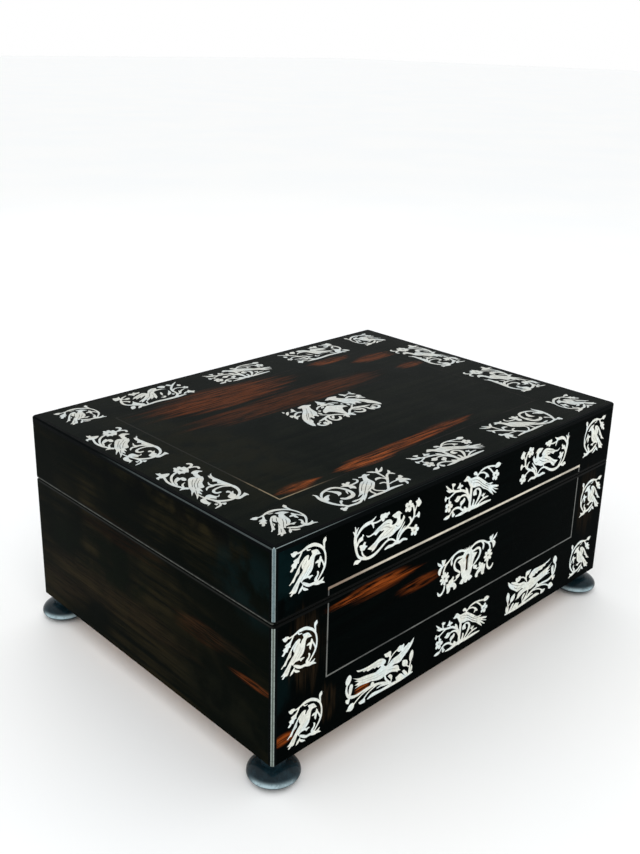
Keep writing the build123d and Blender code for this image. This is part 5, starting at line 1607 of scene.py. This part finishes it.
class BOX_OT_woods(bpy.types.Operator):
    """Make the woods and give them to the carcass, veneers, strips, lippings and tray"""

    bl_idname = "box.woods"
    bl_label = "Woods"

    def execute(self, context):
        dark = tuple(settings().dark_wood)
        # The front veneer's colours are the top's made darker: painted shade on the front.
        front_shade = toned(dark, 0.25, 0.32, 0.4)
        wood(
            "Top Veneer", ALONG_X, dark, toned(dark, 4.2, 2.3, 2.0), roughness=0.38,
            streaks=spots(TOP_STREAKS, "top"), shine=0.008, evenness=0.15,
        )
        wood(
            "Front Veneer", ALONG_X, front_shade, toned(front_shade, 1.8, 1.8, 1.8), roughness=0.3,
            streaks=spots(FRONT_STREAKS, "front"), shine=0.003, evenness=0.3,
        )
        side = wood(
            "Side Veneer", ALONG_Y, toned(dark, 0.3, 0.5, 0.3), (0.0125, 0.0102, 0.004, 1),
            roughness=0.36, streaks=spots(SIDE_STREAKS, "side"), shine=0.006, evenness=0.05,
        )
        back = wood(
            "Back Veneer", ALONG_X, toned(dark, 0.5, 0.6, 0.5), (0.0125, 0.0095, 0.0052, 1),
            roughness=0.36, shine=0.01, evenness=0.15,
        )
        parts = ("base", "lid")
        paint([f"{part}_{end}_veneer" for part in parts for end in ("left", "right")], side)
        paint([f"{part}_back_veneer" for part in parts], back)
        paint(["base_corner_strips", "lid_corner_strips", "lid_top_edging"], edging_material())
        paint([f"{part}_lipping" for part in parts], rim_material())
        top_string_material()
        string_material()
        for name, grain, sides, others in (
            ("Carcass Pine", ALONG_X, ("front", "back"), ["bottom_board", "lid_top_board"]),
            ("Carcass Pine Ends", ALONG_Y, ("left", "right"), []),
        ):
            boards = [f"{part}_{side}_board" for part in parts for side in sides]
            paint(boards + others, wood(name, grain, *PINE, roughness=0.55, relief=0.3))
        for name, grain, nodes in (
            ("Tray Mahogany", ALONG_X, ["tray_front", "tray_back", "tray_bottom", "tray_long_divider"]),
            ("Tray Mahogany Ends", ALONG_Y, ["tray_left", "tray_right", "tray_cross_divider_left",
                                             "tray_cross_divider_right", "tray_bearers"]),
        ):
            paint(nodes, wood(name, grain, *MAHOGANY, roughness=0.35, coat=0.3, relief=0.25))
        wood("Knob Wood", UPRIGHT, *KNOB_WOOD, roughness=0.22, coat=0.6)
        return {"FINISHED"}


class BOX_OT_feet(bpy.types.Operator):
    """Turn the four feet"""

    bl_idname = "box.feet"
    bl_label = "Turned Feet"

    def execute(self, context):
        lo, hi = edges_of("feet")
        r, centre = FOOT_RADIUS, FOOT_RIM
        start, end = -np.arccos(FOOT_NECK / r), np.arccos(FOOT_NECK / r)
        below, above = centre / sin(-start), FOOT_CROWN / sin(end)
        profile = [(0.0, 0.0)]
        for a in np.linspace(start, end, FOOT_POINTS):
            profile.append((r * cos(a), centre + (below if a < 0 else above) * sin(a)))
        profile += [(FOOT_NECK, FOOT_TOP), (FOOT_PEG, FOOT_TOP), (FOOT_PEG, hi[2]), (0, hi[2])]
        places = [(x, y) for x in (lo[0] + r, hi[0] - r) for y in (lo[1] + r, hi[1] - r)]
        feet = [turned(f"foot_{i}", profile, x, y, FOOT_STEPS) for i, (x, y) in enumerate(places)]
        finish_piece(join(feet, "turned_feet"), foot_material(), "base", "feet")
        return {"FINISHED"}


class BOX_OT_knobs(bpy.types.Operator):
    """Turn the two knobs of the tray"""

    bl_idname = "box.knobs"
    bl_label = "Tray Knobs"

    def execute(self, context):
        lo, hi = edges_of("tray_knobs")
        top, low = hi[2], hi[2] - KNOB_HEIGHT
        profile = [(0, lo[2]), (KNOB_PEG, lo[2]), (KNOB_PEG, low)]
        profile += [(radius, low + height) for radius, height in KNOB_NECK]
        for a in np.linspace(KNOB_START, pi / 2, KNOB_POINTS):
            reach = KNOB_ABOVE if a > 0 else KNOB_BELOW
            profile.append((KNOB_RADIUS - KNOB_ROUND * (1 - cos(a)), top - KNOB_ABOVE + reach * sin(a)))
        profile += [(radius, top - depth) for radius, depth in KNOB_DIMPLE]
        middle, places = (lo[1] + hi[1]) / 2, (lo[0] + KNOB_RADIUS, hi[0] - KNOB_RADIUS)
        knobs = [turned(f"knob_{i}", profile, x, middle, KNOB_STEPS) for i, x in enumerate(places)]
        knob_wood = bpy.data.materials["Knob Wood"]
        finish_piece(join(knobs, "turned_knobs"), knob_wood, "tray", "tray_knobs")
        return {"FINISHED"}


class BOX_OT_brass(bpy.types.Operator):
    """Finish the hinges, the lock and the link plate, and set their screw heads"""

    bl_idname = "box.brass"
    bl_label = "Brass and Screws"

    def execute(self, context):
        s = settings()
        base = tuple(s.brass)
        brass = worn("Aged Brass", toned(base, 0.68, 0.62, 0.55), base, 0.3, 70)
        steel = worn("Lock Steel", (0.16, 0.155, 0.15, 1), (0.36, 0.35, 0.34, 1), 0.35, 150)
        paint(["hinge_base_leaves", "hinge_lid_leaves", "hinge_pins", "lock_case", "link_plate"], brass)
        paint(["lock_bolt"], steel)
        hinge_lo, hinge_hi = edges_of("hinge_base_leaves")
        lock_lo, lock_hi = edges_of("lock_case")
        plate_end = edges_of("link_plate")[1][0]
        hinges = (hinge_lo[0] + HINGE_LENGTH / 2, hinge_hi[0] - HINGE_LENGTH / 2)
        hinge_row, lock_row = hinge_lo[1] + HINGE_INSET, (lock_lo[1] + lock_hi[1]) / 2
        for body, end, height in (
            ("base", lock_hi[0] - LOCK_INSET, BASE_SCREWS), ("lid", plate_end - PLATE_INSET, LID_SCREWS)
        ):
            places = [(hinge + side * SCREW_PITCH, hinge_row) for hinge in hinges for side in (-1, 1)]
            places += [(side * end, lock_row) for side in (-1, 1)]
            heads = [
                screw_head(f"{body}_screw_{i}", x, y, height, s.screw_radius, body == "base")
                for i, (x, y) in enumerate(places)
            ]
            finish_piece(join(heads, f"{body}_screw_heads"), brass, body)
        return {"FINISHED"}


class BOX_OT_linings(bpy.types.Operator):
    """Give the linings their velvet"""

    bl_idname = "box.linings"
    bl_label = "Linings"

    def execute(self, context):
        paint(["tray_linings", "well_lining", "lid_lining"], velvet_material())
        return {"FINISHED"}


class BOX_OT_stage(bpy.types.Operator):
    """Set the floor, the lamps, the white surroundings and the camera"""

    bl_idname = "box.stage"
    bl_label = "Stage"

    def execute(self, context):
        self.floor()
        self.surroundings(context.scene)
        for lamp in LAMPS:
            self.lamp(context.collection, *lamp)
        self.camera(context)
        context.scene.view_settings.view_transform = "Standard"
        return {"FINISHED"}

    def floor(self):
        """A wide pale floor."""
        bpy.ops.mesh.primitive_plane_add(size=FLOOR_SIZE, location=(0, 0, 0))
        floor = bpy.context.active_object
        floor.name = "studio_floor"
        pale, tree, shader, position = surface("Pale Floor")
        tone = tree.range(tree.noise(position, 3.0, 2.0), 0.3, 0.7)
        colour = tree.mix(tone, (0.89, 0.9, 0.9, 1), (0.91, 0.91, 0.9, 1))
        tree.give(shader.inputs["Base Color"], colour)
        tree.give(shader.inputs["Roughness"], 0.55)
        floor.data.materials.append(pale)

    def surroundings(self, scene):
        """Plain white where it is seen, a little brighter as light."""
        world = bpy.data.worlds.new("Studio")
        scene.world = world
        world.use_nodes = True
        world.node_tree.nodes.clear()
        tree = Tree(world.node_tree)
        rays = tree.add("ShaderNodeLightPath").outputs
        seen = tree.maths("MAXIMUM", rays["Is Camera Ray"], rays["Is Glossy Ray"])
        seen = tree.maths("MAXIMUM", seen, rays["Is Transmission Ray"])
        colour = tree.mix(seen, (1.06, 1.07, 1.08, 1), WHITE)
        back = tree.add("ShaderNodeBackground", Color=colour, Strength=1.0)
        tree.add("ShaderNodeOutputWorld", Surface=back.outputs[0])

    def lamp(self, collection, name, size, power, location, aim):
        """A square lamp that points at a place and isn't seen in reflections."""
        data = bpy.data.lights.new(name, "AREA")
        data.shape, data.size, data.energy = "SQUARE", size, power
        lamp = bpy.data.objects.new(name, data)
        collection.objects.link(lamp)
        lamp.location = location
        lamp.visible_glossy = False
        lamp.rotation_euler = (Vector(aim) - Vector(location)).to_track_quat("-Z", "Y").to_euler()

    def camera(self, context):
        """The camera at the photo's place, turned and rolled as it was held."""
        data = bpy.data.cameras.new("photo_camera")
        camera = bpy.data.objects.new("photo_camera", data)
        context.collection.objects.link(camera)
        back = Vector((sin(TURN) * cos(RISE), -cos(TURN) * cos(RISE), sin(RISE)))
        level = Vector((cos(TURN), sin(TURN), 0))
        upright = back.cross(level)
        right = level * cos(ROLL) + upright * sin(ROLL)
        up = upright * cos(ROLL) - level * sin(ROLL)
        camera.location = back * AWAY + right * SHIFT[0] + up * SHIFT[1] + Vector(AIM)
        camera.rotation_mode = "QUATERNION"
        rows = [[axis[row] for axis in (right, up, back)] for row in range(3)]
        camera.rotation_quaternion = Matrix(rows).to_quaternion()
        data.lens, data.sensor_width, data.sensor_fit = LENS, 36, "AUTO"
        data.shift_x, data.shift_y = FILM_SHIFT
        data.clip_start, data.clip_end = 0.01, 50
        context.scene.camera = camera


class BOX_PT_panel(bpy.types.Panel):
    """The box's settings and steps"""

    bl_idname = "BOX_PT_panel"
    bl_label = "Inlaid Box"
    bl_space_type = "VIEW_3D"
    bl_region_type = "UI"
    bl_category = "Inlaid Box"

    def draw(self, context):
        column = self.layout.column()
        for name in InlaidBoxSettings.__annotations__:
            column.prop(context.scene.inlaid_box, name)
        for operator in OPERATORS:
            column.operator(operator.bl_idname)


OPERATORS = (
    BOX_OT_woods, BOX_OT_inlaid_top, BOX_OT_inlaid_front, BOX_OT_feet, BOX_OT_knobs, BOX_OT_brass,
    BOX_OT_linings, BOX_OT_stage,
)


def register():
    for made in (InlaidBoxSettings, *OPERATORS, BOX_PT_panel):
        bpy.utils.register_class(made)
    bpy.types.Scene.inlaid_box = PointerProperty(type=InlaidBoxSettings)


def unregister():
    del bpy.types.Scene.inlaid_box
    for made in (BOX_PT_panel, *reversed(OPERATORS), InlaidBoxSettings):
        bpy.utils.unregister_class(made)


def main():
    """Runs every step in order."""
    register()
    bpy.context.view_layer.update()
    bpy.ops.box.woods()
    bpy.ops.box.inlaid_top()
    bpy.ops.box.inlaid_front()
    bpy.ops.box.feet()
    bpy.ops.box.knobs()
    bpy.ops.box.brass()
    bpy.ops.box.linings()
    bpy.ops.box.stage()


if __name__ == "__main__":
    main()
